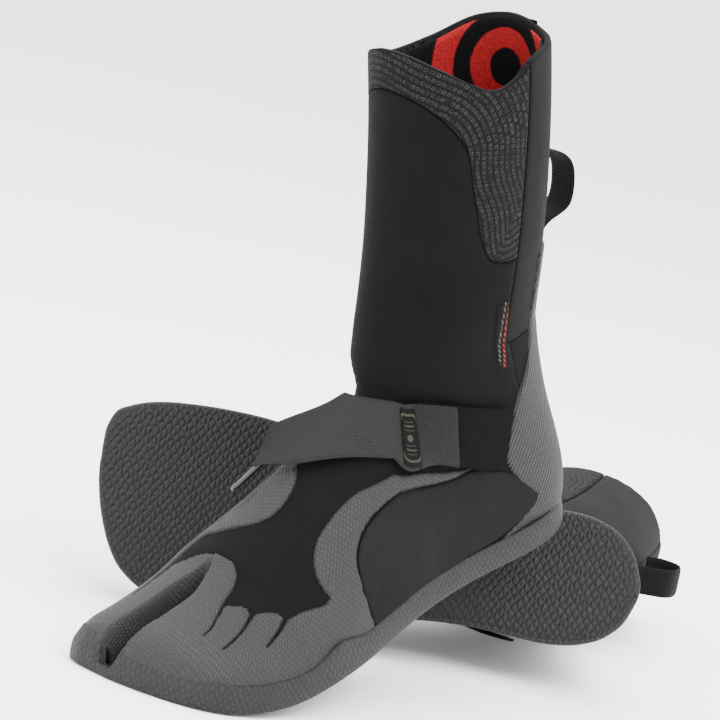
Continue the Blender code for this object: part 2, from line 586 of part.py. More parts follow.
def build_loop(boot):
    """Pull loop of webbing behind the shaft."""
    top = surf(ANCHOR[1], 0.25, 0.0)
    low = surf(ANCHOR[0], 0.25, 0.0)
    gap, web, half = 1.5, 1.6, 8.0
    path = [(top[0] - gap, top[2]), (top[0] - gap - 7, top[2] + 3), (top[0] - gap - 17, top[2] - 3),
            (top[0] - gap - 20, top[2] - 13), (top[0] - gap - 16, top[2] - 27),
            (low[0] - gap - 6, low[2] + 4), (low[0] - gap, low[2])]
    path = np.array(path)
    tangent = np.gradient(path, axis=0)
    tangent /= np.linalg.norm(tangent, axis=1, keepdims=True)
    normal = np.c_[-tangent[:, 1], tangent[:, 0]]
    sign = np.sign((normal[3]) @ np.array([1.0, 0.0]))
    inner = path + normal * sign * web
    ring = np.concatenate([path, inner[::-1]])
    hinge = boot.hinge("loop_axis", (top[0] - gap - web / 2, 0.0, top[2]))
    n = len(ring)
    near = np.c_[ring[:, 0], np.full(n, -half), ring[:, 1]]
    pts = np.concatenate([near, near + np.array([0, 2 * half, 0])])
    m = len(path)
    caps = [(i, i + 1, n - 2 - i, n - 1 - i) for i in range(m - 1)]
    faces = caps + [tuple(n + k for k in reversed(f)) for f in caps]
    faces += [(i, i + n, (i + 1) % n + n, (i + 1) % n) for i in range(n)]
    after = np.roll(ring, -1, axis=0)
    area = (ring[:, 0] * after[:, 1] - after[:, 0] * ring[:, 1]).sum()
    if area < 0:
        faces = [tuple(reversed(f)) for f in faces]
    boot.obj("pull_loop", pts, faces, "webbing", hinge=hinge, smooth=False)


clear_scene()
COLLECTION = bpy.data.collections.new("neoprene_boots")
bpy.context.scene.collection.children.link(COLLECTION)

left_frame = bpy.data.objects.new("left_boot_frame", None)
COLLECTION.objects.link(left_frame)
left_frame.location = Vector((-ORIGIN_X, -ORIGIN_Y, 0)) * MM
right_frame = bpy.data.objects.new("right_boot_frame", None)
COLLECTION.objects.link(right_frame)
turn = Matrix.Rotation(math.radians(LYING_YAW), 4, "Z") @ Matrix.Rotation(math.radians(LYING_PITCH), 4, "Y")
turn = turn @ Matrix.Rotation(math.radians(LYING_ROLL), 4, "X")
ref = Vector((LYING_REF[0], -LYING_REF[1], LYING_REF[2])) * MM
at = (Vector(LYING_AT) - Vector((ORIGIN_X, ORIGIN_Y, 0))) * MM
right_frame.rotation_euler = turn.to_euler()
right_frame.location = at - turn.to_3x3() @ ref
bpy.context.view_layer.update()

build_boot(Boot("left_", 1, STANDING_POSE, left_frame))
build_boot(Boot("right_", -1, LYING_POSE, right_frame))
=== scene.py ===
import math

import bpy
import numpy as np
from mathutils import Matrix, Vector, kdtree
from mathutils.geometry import delaunay_2d_cdt


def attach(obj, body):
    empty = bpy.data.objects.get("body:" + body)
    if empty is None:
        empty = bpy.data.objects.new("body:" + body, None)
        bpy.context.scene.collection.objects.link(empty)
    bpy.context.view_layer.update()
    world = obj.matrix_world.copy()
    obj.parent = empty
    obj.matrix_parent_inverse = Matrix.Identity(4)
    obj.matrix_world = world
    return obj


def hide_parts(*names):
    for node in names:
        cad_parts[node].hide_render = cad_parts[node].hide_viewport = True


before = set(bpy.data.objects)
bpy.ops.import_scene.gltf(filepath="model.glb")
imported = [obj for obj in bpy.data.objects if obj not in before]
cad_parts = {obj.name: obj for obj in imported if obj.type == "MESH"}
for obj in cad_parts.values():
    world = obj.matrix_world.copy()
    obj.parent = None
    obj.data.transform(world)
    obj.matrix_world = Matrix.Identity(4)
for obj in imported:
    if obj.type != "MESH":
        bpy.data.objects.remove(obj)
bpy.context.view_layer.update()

MM = 0.001

# ---- shape of a boot, in millimetres
# x runs forward from the heel, y towards the little toe, z up. (u, v) is a point of the upper: u goes
# toe (0), instep (1), heel fan (2), top of the shaft (3); v is in turns, 0 at the little toe side,
# 0.25 at the sole or heel, 0.5 at the big toe side, 0.75 at the instep.
PLAN_X = np.array([0, 4, 12, 24, 40, 60, 80, 100, 125, 150, 175, 200, 225, 245, 260, 271, 279, 284, 287.0])
PLAN_LAT = np.array([4, 15, 25, 31.5, 34.5, 34, 33, 33.5, 37, 43, 49, 52, 51.5, 48, 42, 32, 17, 2, -12])
PLAN_MED = np.array([3, 13.5, 24, 30.5, 33, 31, 28, 28, 32, 39, 46, 51, 52.5, 52, 50.5, 48, 44.5, 41, 33.0])
TOP_X = np.array([124, 132, 145, 160, 180, 200, 220, 240, 258, 270, 279, 284, 287.0])
TOP_Z = np.array([103.5, 98.5, 91, 82, 70, 60, 51, 43.5, 36.5, 31, 25, 20, 12.0])
FAN_X, FAN_Z = 124.0, 119.0
BACK = np.array([(124, 0), (90, 0), (60, 0), (30, 0), (14, 0.5), (6, 4), (1, 12), (-2, 26), (-1, 45), (2, 65),
                 (4, 85), (5, 105), (5, 119.0)])
FAN_LAT = ([0, 0.2, 0.4, 0.55, 0.7, 0.85, 1], [36.8, 34.0, 34.3, 35.2, 35.3, 34.8, 34.5])
FAN_MED = ([0, 0.2, 0.4, 0.55, 0.7, 0.85, 1], [31.8, 28, 29.5, 33, 34.3, 34.5, 34.5])
SHAFT_Z = np.array([119, 130, 150, 175, 200, 230, 260, 300.0])
SHAFT_FRONT = np.array([116, 113, 107.3, 101.5, 97.3, 93, 90.5, 88])
SHAFT_BACK = np.array([5, 3, -1, -5, -7.5, -9, -9.5, -9])
SHAFT_HALF = np.array([34.5, 35, 36, 37, 38, 39.5, 40.5, 41])
RIM = ([0, 0.04, 0.1, 0.2, 0.3, 0.36, 0.45, 0.52, 0.62, 0.72, 0.78, 0.86, 0.92, 0.96, 1.0],
       [2.734, 2.772, 2.782, 2.785, 2.812, 2.805, 2.761, 2.752, 2.79, 2.838, 2.838, 2.796, 2.746, 2.72, 2.734])
BEND_START, BEND_LENGTH = 267.0, 60.0
STANDING_POSE = (24.7, 4.1, -1.3)
LYING_POSE = (0.0, 12.0, -12.2)
ORIGIN_X, ORIGIN_Y = 32.7, -68.8
LYING_AT = (44.2, -75.4, 50.2)
LYING_REF = (130.0, 0.0, 40.0)
LYING_YAW, LYING_PITCH, LYING_ROLL = -43.8, 2.1, 102.2
TOE_GAP = 3.0  # half of the gap between the big toe and the others
SOLE_LENGTH = 287
CLEFT_FLOOR = 5.0
FAR_FROM_EDGE = 9.0


def spline(x, xs, ys):
    """Smooth curve through the points (xs, ys), clamped to their range."""
    xs = np.asarray(xs, float)
    ys = np.asarray(ys, float)
    h = np.diff(xs)
    d = np.diff(ys) / h
    m = np.empty(len(xs))
    m[1:-1] = (d[:-1] * h[1:] + d[1:] * h[:-1]) / (h[1:] + h[:-1])
    m[0] = d[0]
    m[-1] = d[-1]
    x = np.clip(np.asarray(x, float), xs[0], xs[-1])
    i = np.clip(np.searchsorted(xs, x) - 1, 0, len(xs) - 2)
    t = (x - xs[i]) / h[i]
    value = (2 * t**3 - 3 * t**2 + 1) * ys[i] + (3 * t**2 - 2 * t**3) * ys[i + 1]
    return value + ((t**3 - 2 * t**2 + t) * m[i] + (t**3 - t**2) * m[i + 1]) * h[i]


def section(u):
    """The section at u: where it starts, which way its depth runs, and its depth, half widths and roundness."""
    x = np.clip(SOLE_LENGTH - u * (SOLE_LENGTH - FAN_X), FAN_X, SOLE_LENGTH)
    a = np.clip(u - 1, 0, 1) * math.pi / 2
    k = np.clip(u - 1, 0, 1)
    z = FAN_Z + np.clip(u - 2, 0, 1) * (300 - FAN_Z)
    angle = np.arctan2(FAN_X - BACK[:, 0], FAN_Z - BACK[:, 1])
    reach = np.hypot(FAN_X - BACK[:, 0], FAN_Z - BACK[:, 1])
    inner = 15.5 - 15.2 * k + 6.7 * k**2 + 1.0 * k**3

    def zone(on_toe, on_shaft, on_fan):
        return np.where(u < 1, on_toe, np.where(u > 2, on_shaft, on_fan))

    top = spline(x, TOP_X, TOP_Z)
    front = spline(z, SHAFT_Z, SHAFT_FRONT)
    ox = zone(x, front, FAN_X - np.sin(a) * inner)
    oz = zone(top, z, FAN_Z - np.cos(a) * inner)
    dx = zone(0.0, -1.0, -np.sin(a))
    dz = zone(-1.0, 0.0, -np.cos(a))
    fan_depth = spline(a, angle, reach) - inner
    depth = zone(top, front - spline(z, SHAFT_Z, SHAFT_BACK), fan_depth)
    half = spline(z, SHAFT_Z, SHAFT_HALF)
    lat = zone(spline(x, PLAN_X, PLAN_LAT), half, spline(k, *FAN_LAT))
    med = zone(spline(x, PLAN_X, PLAN_MED), half, spline(k, *FAN_MED))
    low = np.where(u < 1, np.minimum(12, depth * 0.42),
                   12 + (depth * 0.5 - 12) * spline(k, [0, 0.3, 0.6, 1], [0, 0.18, 0.75, 1]))
    flat = np.where(u < 1, 3.6, 3.6 - 1.6 * spline(k, [0, 0.35, 0.7, 1], [0, 0.35, 0.9, 1]))
    dome = np.where(u < 1, 2.2 - 0.2 * np.clip(u, 0, 1), 2.0)
    return ox, oz, dx, dz, depth, lat, med, low, flat, dome


def raw(u, v):
    """Point of the upper's outer surface, before the cleft and before the pose."""
    u, v = np.broadcast_arrays(np.asarray(u, float), np.asarray(v, float))
    ox, oz, dx, dz, depth, lat, med, low, flat, dome = section(u)
    c = np.cos(v * 2 * math.pi)
    s = np.sin(v * 2 * math.pi)
    n = np.where(s > 0, flat, dome)
    cc = np.sign(c) * np.abs(c) ** (2 / n)
    ss = np.sign(s) * np.abs(s) ** (2 / n)
    shift = np.where(u < 1, -9.0 * np.sin(math.pi * np.clip(u, 0, 1)) ** 1.5, 0)
    y = (lat - med) / 2 + (lat + med) / 2 * cc + shift * np.clip(-ss, 0, 1)
    w = np.where(ss > 0, depth - low + ss * low, (depth - low) * (1 + ss))
    return np.stack([ox + dx * w, y, oz + dz * w], -1)


def smooth(x):
    x = np.clip(x, 0, 1)
    return x * x * (3 - 2 * x)


def slot_line(x):
    """y of the middle of the cleft between the big toe and the others."""
    return -14.5 + (SOLE_LENGTH - x) * 0.03


def surf(u, v, off=0.0):
    """Point of the upper's outer surface moved outwards by off, with the cleft between the toes pressed in."""
    e = 2e-3
    u, v, off = np.broadcast_arrays(np.asarray(u, float), np.asarray(v, float), np.asarray(off, float))
    du = raw(np.clip(u + e, 0, 3), v) - raw(np.clip(u - e, 0, 3), v)
    dv = raw(u, v + e) - raw(u, v - e)
    n = np.cross(dv, du)
    n /= np.linalg.norm(n, axis=-1, keepdims=True) + 1e-12
    p = raw(u, v) + n * off[..., None]
    x, z = p[..., 0], p[..., 2]
    far = np.abs(p[..., 1] - slot_line(x))
    along = smooth((x - 212) / 34)
    half = 0.3 + (TOE_GAP - 0.2) * along
    wide = 2.0 + 3.6 * along
    dip = (1 - smooth((far - half) / wide)) ** 1.2 * along
    p[..., 2] = np.where((z > CLEFT_FLOOR) & (u < 0.6), z - dip * (z - CLEFT_FLOOR), z)
    return p


def rim(v):
    """u of the shaft's rim at the turn v."""
    return spline(np.asarray(v, float) % 1.0, *RIM)


def arc(along, across, start, length, angle):
    """Bends what lies below start by angle, spread over length, in the plane of along and across."""
    b = angle if abs(angle) > 1e-6 else 1e-6
    s = start - along
    t = np.clip(s / length, 0, 1) * b
    rest = np.where(s > length, s - length, np.where(s < 0, s, 0.0))
    radius = length / b
    return (start - radius * np.sin(t) - rest * np.cos(t) + across * np.sin(t),
            radius * (1 - np.cos(t)) + rest * np.sin(t) + across * np.cos(t))


def warp(p, pose):
    """Turns the shaft sideways and forwards and the toes up by the three angles of the pose, in degrees."""
    p = np.array(p, float)
    x, y, z = p[..., 0], p[..., 1], p[..., 2]
    a, c = arc(-z, x - 50.0, -75.0, 60.0, math.radians(-pose[1]))
    z, x = -a, c + 50.0
    a, c = arc(-z, y, -75.0, 60.0, math.radians(pose[2]))
    z, y = -a, c
    x, z = arc(x, z, BEND_START, BEND_LENGTH, math.radians(pose[0]))
    return np.stack([x, y, z], -1)


# Distances over the surface, along u (s) and round the section (t), so that textures keep their scale.
GRID_U = np.linspace(0, 3, 451)
GRID_V = np.linspace(-1, 1, 721)
GRID_P = raw(GRID_U[:, None], GRID_V[None, :])
INSTEP_COLUMN = 270  # where v is -0.25


def grid_run(axis, start):
    steps = np.linalg.norm(np.diff(GRID_P, axis=axis), axis=-1)
    return np.concatenate([start, np.cumsum(steps, axis=axis)], axis=axis)


GRID_S = grid_run(0, np.zeros((1, len(GRID_V))))
GRID_T = grid_run(1, np.zeros((len(GRID_U), 1)))
GRID_T -= GRID_T[:, INSTEP_COLUMN:INSTEP_COLUMN + 1]


def lookup(table, u, v):
    a = np.clip(np.asarray(u, float) / 3 * 450, 0, 449.999)
    b = np.clip((np.asarray(v, float) + 1) / 2 * 720, 0, 719.999)
    i, j = a.astype(int), b.astype(int)
    f, g = a - i, b - j
    return ((table[i, j] * (1 - f) + table[i + 1, j] * f) * (1 - g)
            + (table[i, j + 1] * (1 - f) + table[i + 1, j + 1] * f) * g)


def metric(u, v):
    return lookup(GRID_S, u, v), lookup(GRID_T, u, v)


def matrix_of(side):
    """Where the boot stands (side 1) or lies (side -1)."""
    if side > 0:
        return Matrix.Translation(Vector((-ORIGIN_X, -ORIGIN_Y, 0)) * MM)
    turn = Matrix.Rotation(math.radians(LYING_YAW), 4, "Z") @ Matrix.Rotation(math.radians(LYING_PITCH), 4, "Y")
    turn = turn @ Matrix.Rotation(math.radians(LYING_ROLL), 4, "X")
    ref = Vector((LYING_REF[0], -LYING_REF[1], LYING_REF[2])) * MM
    at = (Vector(LYING_AT) - Vector((ORIGIN_X, ORIGIN_Y, 0))) * MM
    return Matrix.Translation(at - turn.to_3x3() @ ref) @ turn


# ---- materials
class Nodes:
    """Short way of writing a node tree."""

    def __init__(self, name, colour, rough, **sockets):
        self.mat = bpy.data.materials.new(name)
        self.mat.use_nodes = True
        self.tree = self.mat.node_tree
        self.shader = self.tree.nodes["Principled BSDF"]
        self.shader.inputs["Base Color"].default_value = (*colour, 1)
        self.shader.inputs["Roughness"].default_value = rough
        self.mat.diffuse_color = (*colour, 1)
        for key, value in sockets.items():
            self.shader.inputs[key.replace("_", " ")].default_value = value

    def node(self, kind, **settings):
        made = self.tree.nodes.new(kind)
        for key, value in settings.items():
            setattr(made, key, value)
        return made

    def link(self, source, target):
        self.tree.links.new(source, target)

    def math(self, operation, a, b=0.0):
        made = self.node("ShaderNodeMath", operation=operation)
        for socket, value in zip(made.inputs, (a, b)):
            if isinstance(value, (int, float)):
                socket.default_value = value
            else:
                self.link(value, socket)
        return made.outputs[0]

    def mul(self, a, b):
        return self.math("MULTIPLY", a, b)

    def plus(self, a, b):
        return self.math("ADD", a, b)

    def wave(self, value, scale):
        return self.math("SINE", self.mul(value, scale))

    def off_centre(self, value):
        """Distance of value from the middle of its unit step."""
        return self.math("ABSOLUTE", self.math("SUBTRACT", self.math("FRACT", value), 0.5))

    def window(self, value, a, b, c, d):
        """1 between b and c, fading to 0 at a and d."""
        return self.mul(self.ramp(value, a, b), self.ramp(value, c, d, 1.0, 0.0))

    def knit(self, st):
        return self.voronoi(self.scaled(st, (1.0, 1.0, 0.0), 0.6), 1.25, "F1", 0.5)

    def speck(self, loc):
        return self.noise(loc, 0.9, 3.0, 0.7)

    def flecked(self, speck, dark, light):
        return self.mix(self.ramp(speck, 0.42, 0.68), dark, light)

    def attribute(self, name):
        made = self.node("ShaderNodeAttribute", attribute_type="GEOMETRY", attribute_name=name)
        parts = self.node("ShaderNodeSeparateXYZ")
        self.link(made.outputs["Vector"], parts.inputs[0])
        return made.outputs["Vector"], parts.outputs

    def place(self):
        return self.attribute("loc")[0]

    def surface(self):
        """Way along the surface, way across it and distance to the piece's edge."""
        return self.attribute("st")[1]

    def scaled(self, vector, scale, rotation):
        made = self.node("ShaderNodeMapping")
        made.inputs["Scale"].default_value = scale
        made.inputs["Rotation"].default_value = (0, 0, rotation)
        self.link(vector, made.inputs["Vector"])
        return made.outputs[0]

    def noise(self, vector, scale, detail=2.0, rough=0.5):
        made = self.node("ShaderNodeTexNoise")
        made.inputs["Scale"].default_value = scale
        made.inputs["Detail"].default_value = detail
        made.inputs["Roughness"].default_value = rough
        self.link(vector, made.inputs["Vector"])
        return made.outputs[0]

    def voronoi(self, vector, scale, feature, random):
        made = self.node("ShaderNodeTexVoronoi", feature=feature, voronoi_dimensions="2D")
        made.inputs["Scale"].default_value = scale
        made.inputs["Randomness"].default_value = random
        self.link(vector, made.inputs["Vector"])
        return made.outputs["Distance"]

    def ramp(self, value, low, high, out_low=0.0, out_high=1.0):
        made = self.node("ShaderNodeMapRange")
        for key, number in (("From Min", low), ("From Max", high), ("To Min", out_low), ("To Max", out_high)):
            made.inputs[key].default_value = number
        self.link(value, made.inputs["Value"])
        return made.outputs[0]

    def mix(self, factor, a, b):
        made = self.node("ShaderNodeMix", data_type="RGBA")
        self.link(factor, made.inputs[0])
        for socket, value in ((made.inputs[6], a), (made.inputs[7], b)):
            if isinstance(value, tuple):
                socket.default_value = (*value, 1)
            else:
                self.link(value, socket)
        return made.outputs[2]

    def bump(self, height, distance, strength=1.0, before=None):
        made = self.node("ShaderNodeBump")
        made.inputs["Distance"].default_value = distance
        made.inputs["Strength"].default_value = strength
        self.link(height, made.inputs["Height"])
        if before is not None:
            self.link(before, made.inputs["Normal"])
        return made.outputs[0]

    def done(self, colour=None, rough=None, normal=None):
        if colour is not None:
            self.link(colour, self.shader.inputs["Base Color"])
        if rough is not None:
            self.link(rough, self.shader.inputs["Roughness"])
        if normal is not None:
            self.link(normal, self.shader.inputs["Normal"])
        return self.mat


def grey(level):
    """Reflectance that shows as this 8-bit screen grey under the studio light."""
    c = level / 255
    return (0.13 * ((c + 0.055) / 1.055) ** 2.4,) * 3


def darker(colour, factor):
    return tuple(factor * c for c in colour)


def neoprene(name, dark, light):
    """Knit-faced neoprene, darker along its edges."""
    n = Nodes(name, dark, 0.9, Specular_IOR_Level=0.08)
    loc = n.place()
    st, parts = n.attribute("st")
    speck = n.speck(loc)
    tone = n.mix(n.ramp(n.noise(loc, 0.03), 0.3, 0.7), darker(dark, 0.85), n.flecked(speck, dark, light))
    colour = n.mix(n.ramp(parts[2], 0.15, 0.9), darker(dark, 0.35), tone)
    normal = n.bump(n.knit(st), 0.00022, 0.55)
    normal = n.bump(n.noise(loc, 0.12, 3.0), 0.0012, 0.35, normal)
    return n.done(colour, n.ramp(speck, 0.3, 0.7, 0.78, 0.92), normal)


def embossed(name, dark, light, cell, turn, depth, edge_dark=0.25, random=0.35, coords="st"):
    """Printed or moulded rubber covered with small pebbles, with a dark line along its edges."""
    n = Nodes(name, light, 0.6, Specular_IOR_Level=0.22)
    loc = n.place()
    st, _ = n.attribute(coords)
    rims = n.surface()
    flat = n.scaled(st, (1.0 / cell, 0.72 / cell, 0.0), turn)
    pebble = n.voronoi(flat, 1.0, "DISTANCE_TO_EDGE", random)
    grain = n.noise(loc, 1.6)
    top = n.mix(n.ramp(n.noise(loc, 0.045, 3.0), 0.32, 0.7), darker(light, 0.86), light)
    body = n.mix(n.ramp(pebble, 0.03, 0.2), dark, top)
    body = n.mix(n.ramp(grain, 0.35, 0.75, 0.0, 0.25), body, darker(light, 1.5))
    colour = n.mix(n.ramp(rims[2], 0.25, 1.0), darker(light, edge_dark), body)
    normal = n.bump(grain, 0.00015, 0.4, n.bump(n.ramp(pebble, 0.0, 0.32), depth, 0.8))
    return n.done(colour, n.ramp(grain, 0.3, 0.7, 0.5, 0.68), normal)


def counter_rubber():
    """Rubber of the heel counter: fine diagonal ribs crossed by weaker ones."""
    n = Nodes("heel_counter_ribbed", grey(104), 0.55, Specular_IOR_Level=0.22)
    loc, xyz = n.attribute("loc")
    rims = n.surface()
    wobble = n.mul(n.noise(loc, 0.12), 1.2)
    rib = n.math("SINE", n.plus(n.plus(n.mul(xyz[0], 2.35), n.mul(xyz[2], 1.55)), wobble))
    cross = n.math("SINE", n.math("SUBTRACT", n.mul(xyz[2], 2.9), n.mul(xyz[0], 0.7)))
    ribs = n.plus(rib, n.mul(cross, 0.35))
    body = n.mix(n.ramp(ribs, -0.9, 0.7), grey(52), grey(90))
    colour = n.mix(n.ramp(rims[2], 0.25, 1.0), grey(30), body)
    return n.done(colour, n.ramp(ribs, -1, 1, 0.65, 0.5), n.bump(ribs, 0.00035, 0.9))


def collar_knit():
    """Knit with rows of small hollow dashes that follow the collar's lower seam."""
    n = Nodes("collar_print_knit", grey(38), 0.85, Specular_IOR_Level=0.08)
    loc = n.place()
    st, rims = n.attribute("st")
    _, band = n.attribute("band")
    field = n.math("DIVIDE", n.plus(band[0], n.mul(n.wave(band[1], 0.12), 2.0)), 3.5)
    shift = n.mul(n.math("FLOOR", field), 0.37)
    across = n.off_centre(field)
    along = n.off_centre(n.plus(n.math("DIVIDE", band[1], 2.3), shift))
    outer = n.math("MAXIMUM", n.math("DIVIDE", across, 0.27), n.math("DIVIDE", along, 0.36))
    ink = n.mul(n.ramp(outer, 0.92, 1.04, 1.0, 0.0), n.ramp(outer, 0.42, 0.56, 0.12, 1.0))
    ink = n.mul(ink, n.ramp(n.noise(loc, 0.35, 3.0, 0.7), 0.34, 0.6))
    body = n.mix(ink, n.flecked(n.speck(loc), grey(33), grey(50)), grey(112))
    colour = n.mix(n.ramp(rims[2], 0.2, 1.0), grey(16), body)
    return n.done(colour, None, n.bump(ink, 0.0001, 0.6, n.bump(n.knit(st), 0.00022, 0.5)))


def lining_plush():
    """Plush lining with rings round a point at the back of the shaft."""
    n = Nodes("lining_plush_rings", (0.35, 0.012, 0.014), 0.95, Specular_IOR_Level=0.1)
    loc = n.place()
    _, band = n.attribute("band")
    radius = n.plus(band[0], n.mul(n.noise(loc, 0.2), 1.2))
    outer = n.window(radius, 29.6, 30.4, 40.6, 41.4)
    inner = n.window(radius, 10.6, 11.4, 21.0, 21.8)
    nap = n.noise(loc, 0.8, 4.0, 0.7)
    red = n.mix(n.ramp(nap, 0.3, 0.7), (0.12, 0.003, 0.004), (0.24, 0.009, 0.012))
    return n.done(n.mix(n.math("MAXIMUM", outer, inner), grey(20), red), None, n.bump(nap, 0.0006, 0.7))


def strap_webbing():
    n = Nodes("strap_webbing", grey(76), 0.8, Specular_IOR_Level=0.15)
    loc = n.place()
    st = n.surface()
    weft = n.math("SINE", n.plus(n.mul(st[0], 5.0), n.mul(st[1], 2.1)))
    weave = n.mul(n.plus(n.wave(st[1], 4.2), weft), 0.5)
    fibre = n.noise(loc, 1.5, 3.0, 0.7)
    body = n.mix(n.ramp(weave, -0.9, 0.8), grey(55), grey(88))
    colour = n.mix(n.ramp(fibre, 0.35, 0.7), body, grey(70))
    return n.done(colour, None, n.bump(weave, 0.00022, 0.8, n.bump(fibre, 0.0001, 0.4)))


def loop_webbing():
    n = Nodes("loop_webbing_black", grey(26), 0.85, Specular_IOR_Level=0.12)
    st = n.surface()
    weave = n.mul(n.plus(n.wave(st[0], 3.3), n.wave(st[1], 3.9)), 0.5)
    return n.done(n.mix(n.ramp(weave, -0.8, 0.8), grey(14), grey(42)), None, n.bump(weave, 0.0003, 0.9))


def hook_patch():
    n = Nodes("hook_patch", grey(30), 0.6, Specular_IOR_Level=0.2)
    st = n.surface()
    dots = n.mul(n.wave(st[0], 4.2), n.wave(st[1], 4.2))
    return n.done(n.mix(n.ramp(dots, 0.1, 0.7), grey(16), grey(54)), None, n.bump(dots, 0.0005, 1.0))


def loop_pile():
    n = Nodes("loop_pile", grey(20), 0.95, Specular_IOR_Level=0.08)
    loc = n.place()
    fuzz = n.noise(loc, 1.1, 5.0, 0.75)
    return n.done(n.mix(n.ramp(fuzz, 0.4, 0.66), grey(10), grey(46)), None, n.bump(fuzz, 0.0012, 1.0))


def woven_label():
    """Label with a rounded frame, a dot and short bars above and below it."""
    n = Nodes("woven_label", grey(26), 0.8, Specular_IOR_Level=0.1)
    _, q = n.attribute("band")
    x = n.math("ABSOLUTE", q[0])
    y = n.math("ABSOLUTE", q[1])
    sides = (n.math("POWER", n.math("DIVIDE", x, 4.9), 6.0), n.math("POWER", n.math("DIVIDE", y, 11.0), 6.0))
    box = n.math("POWER", n.plus(*sides), 1 / 6)
    disc = n.ramp(n.math("SQRT", n.plus(n.mul(x, x), n.mul(y, y))), 1.5, 1.8, 1.0, 0.0)
    stripe = n.ramp(n.off_centre(n.math("DIVIDE", y, 2.2)), 0.14, 0.2, 1.0, 0.0)
    bar = n.mul(n.mul(stripe, n.ramp(x, 2.6, 2.9, 1.0, 0.0)), n.window(y, 3.3, 3.4, 7.6, 7.7))
    mark = n.math("MAXIMUM", n.window(box, 0.90, 0.93, 1.0, 1.03), n.math("MAXIMUM", disc, bar))
    thread = n.wave(q[1], 9.0)
    colour = n.mix(mark, n.mix(n.ramp(thread, -1, 1), grey(15), grey(30)), (0.020, 0.028, 0.017))
    return n.done(colour, None, n.bump(n.plus(thread, mark), 0.0001, 0.8))


def side_ink():
    """Two lanes of plain dashes, one grey and one red, on black knit."""
    n = Nodes("side_mark_ink", grey(30), 0.85, Specular_IOR_Level=0.08)
    _, q = n.attribute("band")
    loc = n.place()
    dash = n.window(n.math("FRACT", n.math("DIVIDE", q[0], 3.2)), 0.12, 0.18, 0.72, 0.78)
    lane = n.window(n.math("ABSOLUTE", q[1]), 0.8, 1.05, 2.5, 2.75)
    ink = n.mul(n.mul(dash, lane), n.ramp(n.noise(loc, 0.8), 0.3, 0.45))
    tint = n.mix(n.ramp(q[1], -0.05, 0.05), grey(150), (0.17, 0.012, 0.007))
    speck = n.speck(loc)
    colour = n.mix(ink, n.flecked(speck, grey(26), grey(44)), tint)
    return n.done(colour, None, n.bump(speck, 0.0001, 0.5))


def ring_plastic():
    n = Nodes("ring_plastic", grey(72), 0.38)
    loc = n.place()
    grain = n.noise(loc, 0.9, 3.0)
    colour = n.mix(n.ramp(grain, 0.3, 0.7), grey(52), grey(84))
    return n.done(colour, n.ramp(grain, 0.3, 0.7, 0.32, 0.5), n.bump(grain, 0.00012, 0.4))


def insole_felt():
    n = Nodes("insole_felt", grey(34), 0.95)
    place = n.node("ShaderNodeTexCoord").outputs["Object"]
    felt = n.noise(place, 900.0, 4.0, 0.7)
    return n.done(n.mix(n.ramp(felt, 0.3, 0.7), grey(18), grey(46)), None, n.bump(felt, 0.0006, 0.8))


MATS = {
    "black": neoprene("neoprene_black_knit", grey(26), grey(44)),
    "grey": neoprene("neoprene_grey_knit", grey(52), grey(74)),
    "dark_grey": neoprene("neoprene_dark_grey_knit", grey(50), grey(76)),
    "overlay": embossed("rubber_print_embossed", grey(58), grey(91), 1.9, 0.75, 0.00035),
    "sole": embossed("outsole_rubber_pebbled", grey(22), grey(56), 3.0, 0.78, 0.0008, 0.6, 0.4, "loc"),
    "rand": embossed("rand_rubber_pebbled", grey(34), grey(74), 2.4, 0.6, 0.0005, 0.25, 0.4),
    "ribbed": counter_rubber(),
    "collar": collar_knit(),
    "lining": lining_plush(),
    "webbing": strap_webbing(),
    "loop": loop_webbing(),
    "hook": hook_patch(),
    "pile": loop_pile(),
    "label": woven_label(),
    "mark": side_ink(),
    "ring": ring_plastic(),
    "insole": insole_felt(),
}

# ---- panel outlines in (u, v)
# A third item "f" marks an edge that carries on into the next panel without a step.


def slot_v(u):
    """v of the middle of the cleft at u."""
    v = np.linspace(-0.45, -0.05, 400)
    p = raw(u, v)
    return float(np.interp(0.0, (p[:, 1] - slot_line(p[:, 0])), v))


INSTEP, HEEL = -0.25, 0.25  # turns in the boot's middle plane


def mirrored(outline, middle):
    """The outline's other half, beyond the turn in its middle."""
    return [(p[0], round(2 * middle - p[1], 4), *p[2:]) for p in outline[::-1]]


SLOT_EDGE = [(u, slot_v(u), "f") for u in (0.006, 0.03, 0.07, 0.12, 0.17, 0.22, 0.27, 0.32, 0.37, 0.42, 0.477)]
# Extra points where the cleft's walls are steep.
CLEFT_U = np.concatenate([[0.008, 0.011, 0.014, 0.018], np.arange(0.022, 0.44, 0.008)])
CLEFT_POINTS = np.array([(u, slot_v(u) + k * 0.0011 + 0.00055) for u in CLEFT_U for k in range(-22, 22)])
BIG_TOE = SLOT_EDGE + [(0.478, -0.255), (0.465, -0.279), (0.43, -0.304), (0.395, -0.331), (0.3, -0.346),
    (0.21, -0.3555), (0.3, -0.354), (0.41, -0.348), (0.46, -0.3405, "f"), (0.46, -0.5, "f"),
    (0.006, -0.5, "f")]
SMALL_TOES = SLOT_EDGE + [(0.475, -0.222), (0.445, -0.207), (0.395, -0.197), (0.31, -0.1895), (0.165, -0.155),
    (0.305, -0.1855), (0.345, -0.172), (0.37, -0.156), (0.36, -0.1435), (0.19, -0.11), (0.37, -0.139),
    (0.42, -0.129), (0.455, -0.114), (0.462, -0.1015), (0.34, -0.08), (0.47, -0.0965, "f"), (0.47, 0.0, "f"),
    (0.006, 0.0, "f")]
